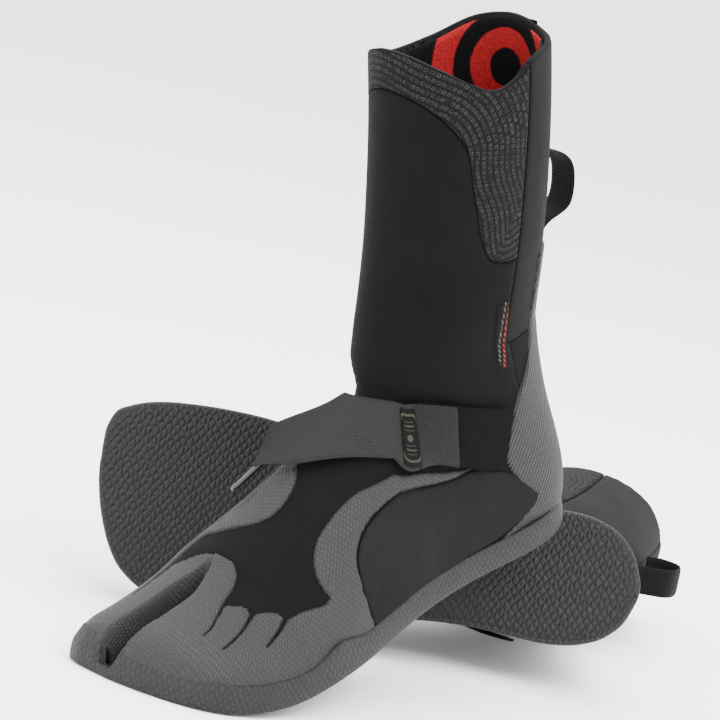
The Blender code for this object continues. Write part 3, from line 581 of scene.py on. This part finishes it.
PETAL = [(0.46, -0.5, "f"), (0.46, -0.3405), (0.5, -0.333), (0.535, -0.322), (0.55, -0.295), (0.575, -0.267),
    (0.605, -0.245), (0.645, -0.231), (0.7, -0.229), (0.76, -0.242), (0.81, -0.275), (0.845, -0.33),
    (0.85, -0.41), (0.84, -0.5, "f")]
WING = [(0.47, 0.0, "f"), (0.47, -0.0965), (0.525, -0.091), (0.6, -0.0765), (0.632, -0.077), (0.622, -0.096),
    (0.628, -0.118), (0.655, -0.138), (0.7, -0.15), (0.78, -0.1525), (0.855, -0.148), (0.975, -0.127),
    (1.1, -0.112), (1.235, -0.098), (1.36, -0.078), (1.43, -0.063), (1.36, -0.0695), (1.235, -0.082),
    (1.105, -0.094), (1.0, -0.102), (0.895, -0.108), (0.82, -0.104), (0.77, -0.085), (0.757, -0.05),
    (0.77, 0.0, "f")]
PANEL_END = [(1.43, -0.06), (1.47, -0.048), (1.505, -0.02), (1.51, 0.015), (1.49, 0.04), (1.38, 0.022),
    (1.27, 0.006), (1.22, 0.0, "f")]
LATERAL = [(0.77, 0.0), (0.757, -0.05), (0.77, -0.084), (0.82, -0.1025), (0.895, -0.1065), (1.0, -0.1005),
    (1.105, -0.0925), (1.235, -0.0805), (1.36, -0.068)] + PANEL_END
MEDIAL = [(0.84, -0.5), (0.85, -0.41), (0.86, -0.385), (0.95, -0.385), (1.05, -0.398), (1.2, -0.415),
    (1.36, -0.432)] + mirrored(PANEL_END, INSTEP)[::-1]
FOREFOOT = [(0.02, 0.0, "f"), (0.02, -0.5, "f"), (1.26, -0.5, "f"), (1.26, 0.0, "f")]
COLLAR_SIDE = [(2.228, 0.03), (2.228, 0.012), (2.235, -0.008), (2.255, -0.03), (2.32, -0.051), (2.4, -0.064),
    (2.47, -0.074), (2.54, -0.083), (2.575, -0.09), (2.62, -0.11), (2.67, -0.142), (2.715, -0.19)]
COLLAR_LOW = COLLAR_SIDE + [(2.735, -0.25)] + mirrored(COLLAR_SIDE, INSTEP)
COUNTER_SIDE = [(1.535, -0.03), (1.585, -0.03), (1.66, -0.006), (1.73, 0.017), (1.8, 0.046), (1.87, 0.074),
    (1.94, 0.094), (2.02, 0.106), (2.1, 0.11), (2.2, 0.112)]
COUNTER = COUNTER_SIDE + mirrored(COUNTER_SIDE, HEEL)


def height_line(z, vs):
    """(u, v) points of the heel side whose height is z."""
    out = []
    for v in vs:
        low, high = 1.0, 1.95
        for _ in range(30):
            u = (low + high) / 2
            if raw(u, v)[2] < z:
                low = u
            else:
                high = u
        out.append((low, float(v), "f"))
    return out


def curve_of(outline, step):
    """The outline resampled finely. Corners between a free and a flush edge stay sharp."""
    n = len(outline)
    pts = np.array([p[:2] for p in outline], float)
    flush = [len(p) > 2 for p in outline]
    out, kind = [], []
    for i in range(n):
        a, b = pts[i], pts[(i + 1) % n]
        before, after = pts[i - 1], pts[(i + 2) % n]
        p, q = raw(a[0], a[1]), raw(b[0], b[1])
        parts = int(min(60, max(1, np.ceil(np.linalg.norm(q - p) / step))))
        soft = not flush[i]
        sharp_a = flush[i - 1] != flush[i] or turn_of(before, a, b) > 1.0
        sharp_b = flush[(i + 1) % n] != flush[i] or turn_of(a, b, after) > 1.0
        ta = (b - a) if sharp_a else (b - before) / 2
        tb = (b - a) if sharp_b else (after - a) / 2
        lim = np.linalg.norm(b - a)
        ta = ta * min(1.0, lim / (np.linalg.norm(ta) + 1e-9))
        tb = tb * min(1.0, lim / (np.linalg.norm(tb) + 1e-9))
        for k in range(parts):
            t = k / parts
            bent = ((2 * t**3 - 3 * t**2 + 1) * a + (t**3 - 2 * t**2 + t) * ta
                    + (3 * t**2 - 2 * t**3) * b + (t**3 - t**2) * tb)
            out.append(bent if soft else a + (b - a) * t)
            kind.append(soft)
    return np.array(out), np.array(kind)


def turn_of(a, b, c):
    """Angle that the outline turns by at b."""
    scale = np.array([170.0, 290.0])  # mm for a unit of u and of v
    p, q = (b - a) * scale, (c - b) * scale
    cos = p.dot(q) / (np.linalg.norm(p) * np.linalg.norm(q) + 1e-9)
    return math.acos(max(-1.0, min(1.0, cos)))


def inside_many(points, ring):
    """Which of the points lie inside the ring."""
    x, y = points[:, 0], points[:, 1]
    hit = np.zeros(len(points), bool)
    x0, y0 = ring[-1]
    for x1, y1 in ring:
        if y0 != y1:
            hit ^= ((y0 > y) != (y1 > y)) & (x < (x1 - x0) * (y - y0) / (y1 - y0) + x0)
        x0, y0 = x1, y1
    return hit


def tree_of(cloud):
    tree = kdtree.KDTree(len(cloud))
    for i, p in enumerate(cloud):
        tree.insert(p, i)
    tree.balance()
    return tree


def nearest(points, cloud):
    """Distance of each point from the closest one of the cloud."""
    tree = tree_of(cloud)
    return np.array([tree.find(p)[2] for p in points])


def filled(ring, inside, scale, side):
    """Triangles over the ring and the points inside it, in units of scale, counterclockwise if side is 1."""
    count = len(ring)
    points = [Vector(q) for q in np.concatenate([ring, inside]) / scale]
    edges = [(i, (i + 1) % count) for i in range(count)]
    found = delaunay_2d_cdt(points, edges, [], 1, 1e-5)
    flat = np.array([(q.x, q.y) for q in found[0]]) * scale
    faces = []
    for f in found[2]:
        q = flat[list(f)]
        area = (q[1, 0] - q[0, 0]) * (q[2, 1] - q[0, 1]) - (q[1, 1] - q[0, 1]) * (q[2, 0] - q[0, 0])
        faces.append(tuple(f) if area * side > 0 else tuple(reversed(f)))
    return flat, faces


def open_edges(faces):
    """Directed edges that only one face has."""
    used = {(f[i], f[(i + 1) % len(f)]) for f in faces for i in range(len(f))}
    return [e for e in used if (e[1], e[0]) not in used]


def fine_line(line):
    line = np.array(line, float)
    t = np.arange(len(line))
    fine = np.linspace(0, len(line) - 1, 40 * (len(line) - 1))
    return np.c_[spline(fine, t, line[:, 0]), spline(fine, t, line[:, 1])]


def run_of(points):
    """Length along a line of points, from its start."""
    return np.r_[0, np.cumsum(np.linalg.norm(np.diff(points, axis=0), axis=1))]


class Boot:
    def __init__(self, side):
        self.side = side
        self.name = "left" if side > 0 else "right"
        self.pose = STANDING_POSE if side > 0 else LYING_POSE
        self.matrix = np.array(matrix_of(side))

    def place(self, points):
        p = warp(points, self.pose)
        p[..., 1] *= self.side
        p = p * MM
        return p @ self.matrix[:3, :3].T + self.matrix[:3, 3]

    def add(self, name, points, faces, mat, body="boot", st=None, band=None, also=()):
        """Adds a piece in place of the CAD nodes of its own name and those in also.

        st holds metric surface coordinates and the distance to the piece's edge, band those of a pattern."""
        points = np.asarray(points, float).reshape(-1, 3)
        if self.side < 0:
            faces = [tuple(reversed(f)) for f in faces]
        mesh = bpy.data.meshes.new(self.name + "_" + name)
        mesh.from_pydata([tuple(v) for v in self.place(points)], [], faces)
        k = len(points)
        if st is None:
            st = np.c_[points[:, :2], np.full(k, FAR_FROM_EDGE)]
        for key, data in (("loc", points), ("st", st), ("band", np.zeros((k, 3)) if band is None else band)):
            attribute = mesh.attributes.new(key, "FLOAT_VECTOR", "POINT")
            attribute.data.foreach_set("vector", np.asarray(data, np.float32).ravel())
        mesh.polygons.foreach_set("use_smooth", [True] * len(mesh.polygons))
        mesh.materials.append(MATS[mat])
        mesh.update()
        obj = bpy.data.objects.new(self.name + "_" + name, mesh)
        bpy.context.scene.collection.objects.link(obj)
        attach(obj, self.name + "_" + body)
        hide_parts(*[self.name + "_" + node for node in (name, *also)])

    def panel(self, name, outline, mat, low, high, step, edge=1.0, depth=None, thick=False, lines=(),
              relief=None, band_from=None):
        """A panel of the upper between the offsets low and high, its free edges rounded over edge mm.

        A thick panel has an inner face at low. Another one is closed only by a skirt down to low."""
        ring, soft = curve_of(outline, step)
        scale = np.array([0.0055, 0.0034]) * step
        lo, hi = ring.min(0), ring.max(0)
        us = np.arange(lo[0] + scale[0] / 2, hi[0], scale[0])
        vs = np.arange(lo[1] + scale[1] / 2, hi[1], scale[1])
        grid = np.array([(u, v + (i % 2) * scale[1] / 2) for i, u in enumerate(us) for v in vs])
        if lo[0] < 0.1:
            grid = np.concatenate([grid, CLEFT_POINTS])
        grid = grid[inside_many(grid, ring)]
        ring_p = raw(ring[:, 0], ring[:, 1])
        grid = grid[nearest(raw(grid[:, 0], grid[:, 1]), ring_p) > step * 0.4]
        uv, faces = filled(ring, grid, scale, -1)
        u, v = uv[:, 0], uv[:, 1]
        k = len(uv)
        base = raw(u, v)
        d_edge = nearest(base, ring_p[soft]) if soft.any() else np.full(k, 99.0)
        d_line = np.full(k, 99.0)
        for line in lines:
            pts = fine_line(line)
            d_line = np.minimum(d_line, nearest(base, raw(pts[:, 0], pts[:, 1])))
        drop = (high - low) if depth is None else depth
        t = np.clip(d_edge / edge, 0, 1)
        off = high - drop * (1 - np.sqrt(1 - (1 - t) ** 2))
        off = off - 0.5 * np.exp(-(d_line / 0.8) ** 2)
        if relief is not None:
            off = off + relief(uv)
        s, turn = metric(u, v)
        sunk = np.where(u < 0.6, base[:, 2] - surf(u, v)[:, 2], 0)
        turn = turn - np.sign(base[:, 1] - slot_line(base[:, 0])) * sunk
        st = np.c_[s, turn, np.minimum(d_edge, d_line)]
        top, under = surf(u, v, off), surf(u, v, low)
        walls = open_edges(faces)
        if thick:
            pick = list(range(k)) * 2
            points = np.concatenate([top, under])
            solid = faces + [tuple(i + k for i in reversed(f)) for f in faces]
            solid += [(a, a + k, b + k, b) for a, b in walls]
        else:
            rim_ids = sorted({i for e in walls for i in e})
            index = {old: k + j for j, old in enumerate(rim_ids)}
            pick = list(range(k)) + rim_ids
            points = np.concatenate([top, under[rim_ids]])
            solid = faces + [(a, index[a], index[b], b) for a, b in walls]
        band = None if band_from is None else band_from(uv, base)[pick]
        self.add(name, points, solid, mat, st=st[pick], band=band)

    def ribbon(self, name, rows, thickness, mat, body="boot"):
        """A strip of a real thickness through a grid of points, its long edges rounded."""
        rows = np.asarray(rows, float)
        n, m = rows.shape[:2]
        normal = np.cross(np.gradient(rows, axis=0), np.gradient(rows, axis=1))
        normal /= np.linalg.norm(normal, axis=-1, keepdims=True) + 1e-9
        profile = np.sqrt(np.clip(1 - np.abs(np.linspace(-1, 1, m)) ** 8, 0.05, 1))[None, :, None]
        half = normal * thickness * 0.5 * profile
        points = np.concatenate([(rows + half).reshape(-1, 3), (rows - half).reshape(-1, 3)])
        k = n * m
        top = [(i * m + j, (i + 1) * m + j, (i + 1) * m + j + 1, i * m + j + 1)
               for i in range(n - 1) for j in range(m - 1)]
        faces = [g for f in top for g in (f, tuple(k + q for q in reversed(f)))]
        faces += [(a, a + k, b + k, b) for a, b in open_edges(top)]
        s, t = run_of(rows[:, m // 2]), run_of(rows[n // 2])
        ss, tt = np.meshgrid(s, t, indexing="ij")
        st = np.stack([ss, tt, np.minimum(tt, t[-1] - tt)], -1).reshape(-1, 3)
        centred = np.stack([ss - s[-1] / 2, tt - t[-1] / 2, ss * 0], -1).reshape(-1, 3)
        self.add(name, points, faces, mat, body, np.tile(st, (2, 1)), np.tile(centred, (2, 1)))

    def wire(self, name, path, radius, mat, body, sides, up):
        """A closed loop of round wire along path. up is square to the loop's plane."""
        path = np.asarray(path, float)
        n = len(path)
        tangent = np.roll(path, -1, axis=0) - np.roll(path, 1, axis=0)
        tangent /= np.linalg.norm(tangent, axis=1, keepdims=True)
        side = np.cross(tangent, up)
        side /= np.linalg.norm(side, axis=1, keepdims=True) + 1e-9
        top = np.cross(side, tangent)
        a = (np.arange(sides) / sides * 2 * math.pi)[None, :, None]
        points = path[:, None] + radius * (np.cos(a) * side[:, None] + np.sin(a) * top[:, None])
        faces = []
        for i in range(n):
            for j in range(sides):
                here, there, turn = i * sides, (i + 1) % n * sides, (j + 1) % sides
                faces.append((here + j, here + turn, there + turn, there + j))
        self.add(name, points.reshape(-1, 3), faces, mat, body)


# ---- sole and rand
RAND_COUNT, OUTSOLE_COUNT = 520, 400  # points round the rand and the outsole
OUTSOLE_TOP = 3.9
OUTSOLE_STEP = 4.0


def sole_path(offset, count):
    """Closed outline of the sole moved outwards by offset, its normals, and the way along it."""
    xs = SOLE_LENGTH * (1 - np.cos(np.linspace(0, math.pi, 260))) / 2
    lateral = np.c_[xs, spline(xs, PLAN_X, PLAN_LAT)]
    medial = np.c_[xs, -spline(xs, PLAN_X, PLAN_MED)]
    ring = np.concatenate([lateral, medial[::-1], lateral[:1]])
    s = run_of(ring)
    q = np.arange(count) / count * s[-1]
    out = np.c_[np.interp(q, s, ring[:, 0]), np.interp(q, s, ring[:, 1])]
    for _ in range(3):
        out = (np.roll(out, 1, axis=0) + 2 * out + np.roll(out, -1, axis=0)) / 4
    tangent = np.roll(out, -1, axis=0) - np.roll(out, 1, axis=0)
    tangent /= np.linalg.norm(tangent, axis=1, keepdims=True)
    normal = np.c_[-tangent[:, 1], tangent[:, 0]]
    return out + normal * offset, normal, q


def build_rand(boot):
    """Rubber band round the sole, turned up over the toes, low in the cleft, with a peak at the mid-foot."""
    path, normal, along = sole_path(0.0, RAND_COUNT)
    x, y = path[:, 0], path[:, 1]
    notch = (1 - smooth((np.abs(y - slot_line(x)) - 3.3) / 5.4)) ** 1.2 * (x > 262)
    peak = 0.34 * np.exp(-((x - 188) / 13) ** 2) * (y > 0)
    profile = [(-2.2, 0.6), (-0.3, 0.35), (0.7, 0.7), (1.2, 1.8), (1.45, 4.0), (1.5, 7.0), (1.4, 10.0),
               (1.05, 12.6), (0.75, 13.9), (0.3, 14.5), (-0.5, 14.7), (-1.6, 14.3), (-2.4, 13.0)]
    points, st = [], []
    for out, z in profile:
        toe = smooth((x - 258) / 22) * smooth((z - 9) / 5)
        rise = (z * (1 + peak) if z > 9 else z) + 3.6 * toe
        rise = rise - notch * np.maximum(rise - 5.6, 0)
        offset = out - 2.6 * toe * (1 - notch) - 0.6 * notch * smooth(z / 6)
        points.append(np.c_[path + normal * offset[:, None], rise])
        to_edge = abs(z - 14.4) * 0.9 + 0.3
        st.append(np.c_[along, np.full(RAND_COUNT, z + out * 0.6), np.full(RAND_COUNT, to_edge)])
    faces = []
    for low in range(0, (len(profile) - 1) * RAND_COUNT, RAND_COUNT):
        high = low + RAND_COUNT
        for i in range(RAND_COUNT):
            b = (i + 1) % RAND_COUNT
            faces.append((low + i, high + i, high + b, low + b))
    boot.add("rand", np.concatenate(points), faces, "rand", st=np.concatenate(st), also=("toe_divider",))


def level(points, z=0.0):
    return np.c_[points, np.full(len(points), z)]


def build_outsole(boot):
    """A plate with a rounded lower edge."""
    ring, _, _ = sole_path(-0.4, OUTSOLE_COUNT)
    inset, _, _ = sole_path(-1.8, OUTSOLE_COUNT)
    gx, gy = np.meshgrid(np.arange(2, 286, OUTSOLE_STEP), np.arange(-54, 54, OUTSOLE_STEP), indexing="ij")
    grid = np.c_[gx.ravel(), gy.ravel()]
    grid = grid[inside_many(grid, ring)]
    grid = grid[nearest(level(grid), level(ring)) > 2.6]
    flat, faces = filled(ring, np.concatenate([inset, grid]), 1.0, 1)
    low = 0.9 * (1 - np.clip(nearest(level(flat), level(ring)) / 1.4, 0, 1)) ** 2
    k = len(flat)
    solid = [tuple(reversed(f)) for f in faces] + [tuple(i + k for i in f) for f in faces]
    solid += [(a, b, b + k, a + k) for a, b in open_edges(faces)]
    boot.add("outsole", np.concatenate([np.c_[flat, low], level(flat, OUTSOLE_TOP)]), solid, "sole")


# ---- strap, ring and loop
STRAP_KNOTS = [0, 0.2, 0.45, 0.75, 1]
STRAP_BOTTOM = ([0.745, 0.79, 1.03, 1.33, 1.51], [-0.312, -0.240, -0.130, -0.095, -0.035])
STRAP_TOP = ([0.83, 1.0, 1.45, 1.66, 1.725], [-0.297, -0.258, -0.180, -0.115, 0.005])


def strap_rows(t0, t1, low, steps, wide=(0.0, 1.0), cross=15, stand=(0.0, 0.0)):
    """Rows of the strap from the ring (t 0) over the instep to the heel side (t 1), flat across its width.

    wide is the part of the width, stand how far the lower and upper edge stand off at the ring."""
    ts = np.linspace(t0, t1, steps)
    (bottom_u, bottom_v), (top_u, top_v) = ([spline(ts, STRAP_KNOTS, values) for values in edge]
                                            for edge in (STRAP_BOTTOM, STRAP_TOP))
    free = np.clip(1 - ts / 0.34, 0, 1) ** 1.3
    bottom = surf(bottom_u, bottom_v, low + stand[0] * free)
    top = surf(top_u, top_v, low + stand[1] * free)
    rows = []
    for w in np.linspace(*wide, cross):
        u = bottom_u + (top_u - bottom_u) * w
        v = bottom_v + (top_v - bottom_v) * w
        chord = bottom + (top - bottom) * w
        draped = surf(u, v, low)
        outward = draped - surf(u, v, low - 1.0)
        gap = ((draped - chord) * outward).sum(-1)
        lift = np.log1p(np.exp(np.clip(gap, -30, 30) * 1.5)) / 1.5
        ends = np.clip(24 * w * (1 - w), 0, 1)
        rows.append(chord + outward * (lift * ends)[:, None])
    return np.swapaxes(np.array(rows), 0, 1)


def build_strap(boot):
    boot.ribbon("strap_pile", strap_rows(0.64, 1.0, 1.9, 44, cross=17), 1.6, "pile")
    boot.ribbon("strap_web", strap_rows(0.0, 0.62, 3.3, 80, stand=(5.5, 15.0)), 1.5, "webbing", "strap")
    boot.ribbon("strap_hook_end", strap_rows(0.605, 0.82, 3.9, 26), 1.5, "hook", "strap")
    boot.ribbon("strap_label", strap_rows(0.475, 0.60, 4.6, 24, (0.05, 0.95), 19), 0.7, "label", "strap")


def build_ring(boot):
    """The flat wire loop that the strap's end is sewn round, and the short web that holds it."""
    a = surf(0.735, -0.338, 7.2)
    b = surf(0.842, -0.318, 7.2)
    along = (b - a) / np.linalg.norm(b - a)
    n = surf(0.79, -0.328, 8.0) - surf(0.79, -0.328, 0.0)
    n -= along * n.dot(along)
    n /= np.linalg.norm(n)
    across = np.cross(n, along)
    centre = (a + b) / 2
    half_length, half_width, corner = 19.8, 4.3, 3.2
    path = []
    for cx, cy, start in ((1, 1, 0), (-1, 1, 90), (-1, -1, 180), (1, -1, 270)):
        for k in range(7):
            turn = math.radians(start + 15 * k)
            x = cx * (half_length - corner) + corner * math.cos(turn)
            y = cy * (half_width - corner) + corner * math.sin(turn)
            path.append(centre + along * x + across * y)
    boot.wire("ring", path, 1.35, "ring", "ring", 12, n)
    us, vs = np.linspace(0.745, 0.835, 14), np.linspace(-0.345, -0.325, 14)
    rows = np.array([surf(us, vs - d, 1.6) for d in np.linspace(0.022, 0.06, 12)])
    boot.ribbon("ring_tab", np.swapaxes(rows, 0, 1)[:, ::-1], 1.4, "webbing")


def build_loop(boot):
    top = surf(2.4, 0.25, 0.0)
    low = surf(2.2, 0.25, 0.0)
    back, foot = top[0] - 1.5, low[0] - 1.5
    path = np.array([(back, top[2]), (back - 7, top[2] + 3), (back - 17, top[2] - 3), (back - 20, top[2] - 13),
                     (back - 16, top[2] - 27), (foot - 6, low[2] + 4), (foot, low[2])])
    t = np.arange(len(path))
    fine = np.linspace(0, len(path) - 1, 60)
    x, z = (spline(fine, t, values) for values in path.T)
    rows = np.array([np.c_[x, np.full(60, y), z] for y in np.linspace(-8, 8, 11)])
    boot.ribbon("pull_loop", np.swapaxes(rows, 0, 1), 1.6, "loop", "loop")


# ---- upper
def build_lining(boot):
    """Plush lining inside the shaft, with red and black rings on its inner face."""
    us, around = 40, 150
    bottom, ring_u, ring_v = 2.02, 2.66, 0.30
    u_length, v_length = 181, 255  # mm for a unit of u and of v at the rim
    vs = np.arange(around) / around
    points, st, band = [], [], []
    for off in (-5.3, -6.3):
        for i in range(us):
            u = bottom + (rim(vs) - 0.010 - bottom) * i / (us - 1)
            points.append(surf(u, vs, off))
            s, t = metric(u, vs)
            st.append(np.c_[s, t, np.full(around, FAR_FROM_EDGE)])
            dv = (vs - ring_v + 0.5) % 1.0 - 0.5
            band.append(np.c_[np.hypot((u - ring_u) * u_length, dv * v_length), s, t])
    k = us * around
    top = (us - 1) * around
    faces = []
    for i in range(0, top, around):
        for j in range(around):
            b = (j + 1) % around
            f = (i + j, i + b, i + around + b, i + around + j)
            faces += [tuple(reversed(f)), tuple(q + k for q in f)]
    for j in range(around):
        b = (j + 1) % around
        faces.append((top + j, top + j + k, top + b + k, top + b))
    boot.add("collar_lining", np.concatenate(points), faces, "lining", st=np.concatenate(st),
             band=np.concatenate(band))


def collar_band(uv, base):
    """Distance from the collar's lower seam and the way along it, which the printed waves follow."""
    pts = fine_line(COLLAR_LOW)
    line = raw(pts[:, 0], pts[:, 1])
    run = run_of(line)
    tree = tree_of(line)
    found = [tree.find(p) for p in base]
    return np.array([(d, run[j], 0) for _, j, d in found])


def mark_band(uv, base):
    s, t = metric(uv[:, 0], uv[:, 1])
    return np.c_[s - s.min(), t - t.mean(), t * 0]


def ankle_folds(uv):
    u, v = uv[:, 0], uv[:, 1]
    near = np.exp(-((u - 1.55) / 0.28) ** 2)
    return 0.12 * near * np.sin(u * 46 + 3.0 * np.sin(v * 11)) * np.exp(-((v + 0.25) / 0.2) ** 2)


def side_folds(uv):
    u, v = uv[:, 0], uv[:, 1]
    return 0.7 * np.sin((u - 0.75) * 13 + v * 60) * np.exp(-((u - 1.0) / 0.22) ** 2)


def rim_line(v0, v1, count):
    return [(float(rim(v)), float(v)) for v in np.linspace(v0, v1, count)]


def both_sides(vs):
    """The turns vs, up to the heel's 0.25, and their mirror images on the medial side."""
    return vs + [0.5 - v for v in vs[-2::-1]]


WALL = {"low": -4.4, "high": -0.9, "thick": True}  # neoprene panels, 3.5 mm of wall
CAP = {"mat": "overlay", "low": -1.6, "high": 0.2, "step": 1.5, "edge": 0.9, "depth": 1.0}
MID_FOOT = {"mat": "grey", "low": -1.6, "high": -0.1, "edge": 1.0, "depth": 0.6}
PETAL_SLIT = [(0.56, -0.345), (0.61, -0.318), (0.66, -0.303), (0.70, -0.298)]
# The seam between the ankle and the shaft, which passes under the strap.
ANKLE_SEAM = [(1.55, 0.04, "f"), (1.50, -0.10, "f"), (1.46, -0.25, "f"), (1.50, -0.40, "f"), (1.55, -0.54, "f")]


def build_walls(boot):
    boot.panel("forefoot_upper", FOREFOOT, "black", step=2.2, relief=ankle_folds, **WALL)
    hem = height_line(13.0, [0.0, 0.012, 0.025, 0.04])
    ankle = [(1.26, 0.0, "f")] + hem + ANKLE_SEAM + [(u, -0.5 - v, "f") for u, v, _ in hem[::-1]]
    ankle += [(1.26, -0.5, "f")]
    boot.panel("ankle_upper", ankle, "black", step=2.6, relief=ankle_folds, **WALL)
    heel = height_line(13.0, both_sides([0.04, 0.06, 0.08, 0.1, 0.15, 0.2, 0.25]))
    heel += [(1.985, 0.46, "f"), (1.985, 0.04, "f")]
    boot.panel("heel_cup", heel, "black", step=2.8, **WALL)
    shaft = ANKLE_SEAM + [(1.985, -0.54), (1.99, -0.53)] + [(u - 0.001, v) for u, v in COLLAR_LOW[::-1]]
    shaft += [(1.99, 0.03), (1.985, 0.04, "f")]
    boot.panel("shaft_panel", shaft, "black", step=2.4, edge=0.9, depth=0.5, relief=ankle_folds, **WALL)
    collar = [(u + 0.001, v) for u, v in COLLAR_LOW] + rim_line(-0.53, 0.03, 29)
    boot.panel("collar_panel", collar, "collar", step=1.9, edge=1.1, depth=0.6, band_from=collar_band, **WALL)
    achilles = [(1.985, 0.032), (1.985, 0.468)] + rim_line(0.468, 0.032, 21)
    boot.panel("achilles_panel", achilles, "dark_grey", step=2.4, edge=1.0, depth=0.5, **WALL)


def build_overlays(boot):
    boot.panel("big_toe_cap", BIG_TOE, **CAP)
    boot.panel("small_toes_cap", SMALL_TOES, **CAP)
    boot.panel("medial_petal", PETAL, lines=(PETAL_SLIT,), **CAP)
    boot.panel("lateral_wing", WING, **CAP)
    boot.panel("lateral_panel", LATERAL, step=1.9, relief=side_folds, **MID_FOOT)
    boot.panel("medial_panel", MEDIAL, step=2.2, **MID_FOOT)
    hem = height_line(14.0, both_sides([0.03, 0.06, 0.1, 0.15, 0.2, 0.25]))
    counter = COUNTER + [(1.50, 0.515), (1.49, 0.48)] + [(u, v, "f") for u, v, _ in hem[::-1]]
    counter += [(1.49, 0.02), (1.50, -0.015)]
    boot.panel("heel_counter", counter, "ribbed", -1.6, 0.2, 2.0, edge=0.9, depth=1.0)
    tape = [(2.205, 0.23), (2.205, 0.27), (2.80, 0.27), (2.80, 0.23)]
    boot.panel("back_seam_tape", tape, "black", -1.3, -0.2, 2.2, edge=0.7, depth=0.6)
    mark = [(1.885, 0.012), (1.885, 0.040), (2.115, 0.026), (2.115, 0.000)]
    boot.panel("side_print", mark, "mark", -1.0, -0.55, 1.8, edge=0.4, depth=0.15, band_from=mark_band)


for side in (1, -1):
    boot = Boot(side)
    build_rand(boot)
    build_outsole(boot)
    build_walls(boot)
    build_lining(boot)
    build_overlays(boot)
    build_strap(boot)
    build_ring(boot)
    build_loop(boot)
    for slot in bpy.data.objects[boot.name + "_insole_board"].material_slots:
        slot.material = MATS["insole"]

# ---- floor, light and camera
floor_mat = Nodes("studio_floor", (0.93, 0.93, 0.93), 0.9).mat
mesh = bpy.data.meshes.new("studio_floor")
mesh.from_pydata([(-6, -6, 0), (6, -6, 0), (6, 6, 0), (-6, 6, 0)], [], [(0, 1, 2, 3)])
mesh.materials.append(floor_mat)
floor = bpy.data.objects.new("studio_floor", mesh)
bpy.context.scene.collection.objects.link(floor)

world = bpy.data.worlds.new("studio")
world.use_nodes = True
world.node_tree.nodes["Background"].inputs[0].default_value = (1, 1, 1, 1)
world.node_tree.nodes["Background"].inputs[1].default_value = 3.2
bpy.context.scene.world = world


def softbox(name, at, aim, size, watts):
    light = bpy.data.lights.new(name, "AREA")
    light.shape = "RECTANGLE"
    light.size, light.size_y = size
    light.energy = watts
    obj = bpy.data.objects.new(name, light)
    obj.location = at
    obj.rotation_euler = (Vector(aim) - Vector(at)).to_track_quat("-Z", "Y").to_euler()
    bpy.context.scene.collection.objects.link(obj)


softbox("key_light", (0.4, 1.6, 1.9), (0, 0, 0.1), (1.4, 1.4), 112)
softbox("side_light", (1.9, -0.9, 1.2), (0, 0, 0.15), (1.0, 1.4), 47)
softbox("top_light", (-0.5, -0.3, 2.2), (0, 0, 0.1), (1.6, 1.6), 73)

elevation, azimuth, roll = math.radians(8.320), math.radians(43.397), math.radians(13.135)
forward = Vector((-math.cos(elevation), 0, -math.sin(elevation)))
right = Vector((0, 1, 0))
up = Vector((-math.sin(elevation), 0, math.cos(elevation)))
across = right * math.cos(roll) + up * math.sin(roll)
above = up * math.cos(roll) - right * math.sin(roll)
axes = Matrix((across, above, -forward)).transposed().to_4x4()
camera_data = bpy.data.cameras.new("camera")
camera_data.sensor_width = 36.0
camera_data.lens = 180.0
camera = bpy.data.objects.new("camera", camera_data)
camera.matrix_world = Matrix.Translation((1.4034, 1.2580, 0.4188)) @ Matrix.Rotation(azimuth, 4, "Z") @ axes
bpy.context.scene.collection.objects.link(camera)
bpy.context.scene.camera = camera
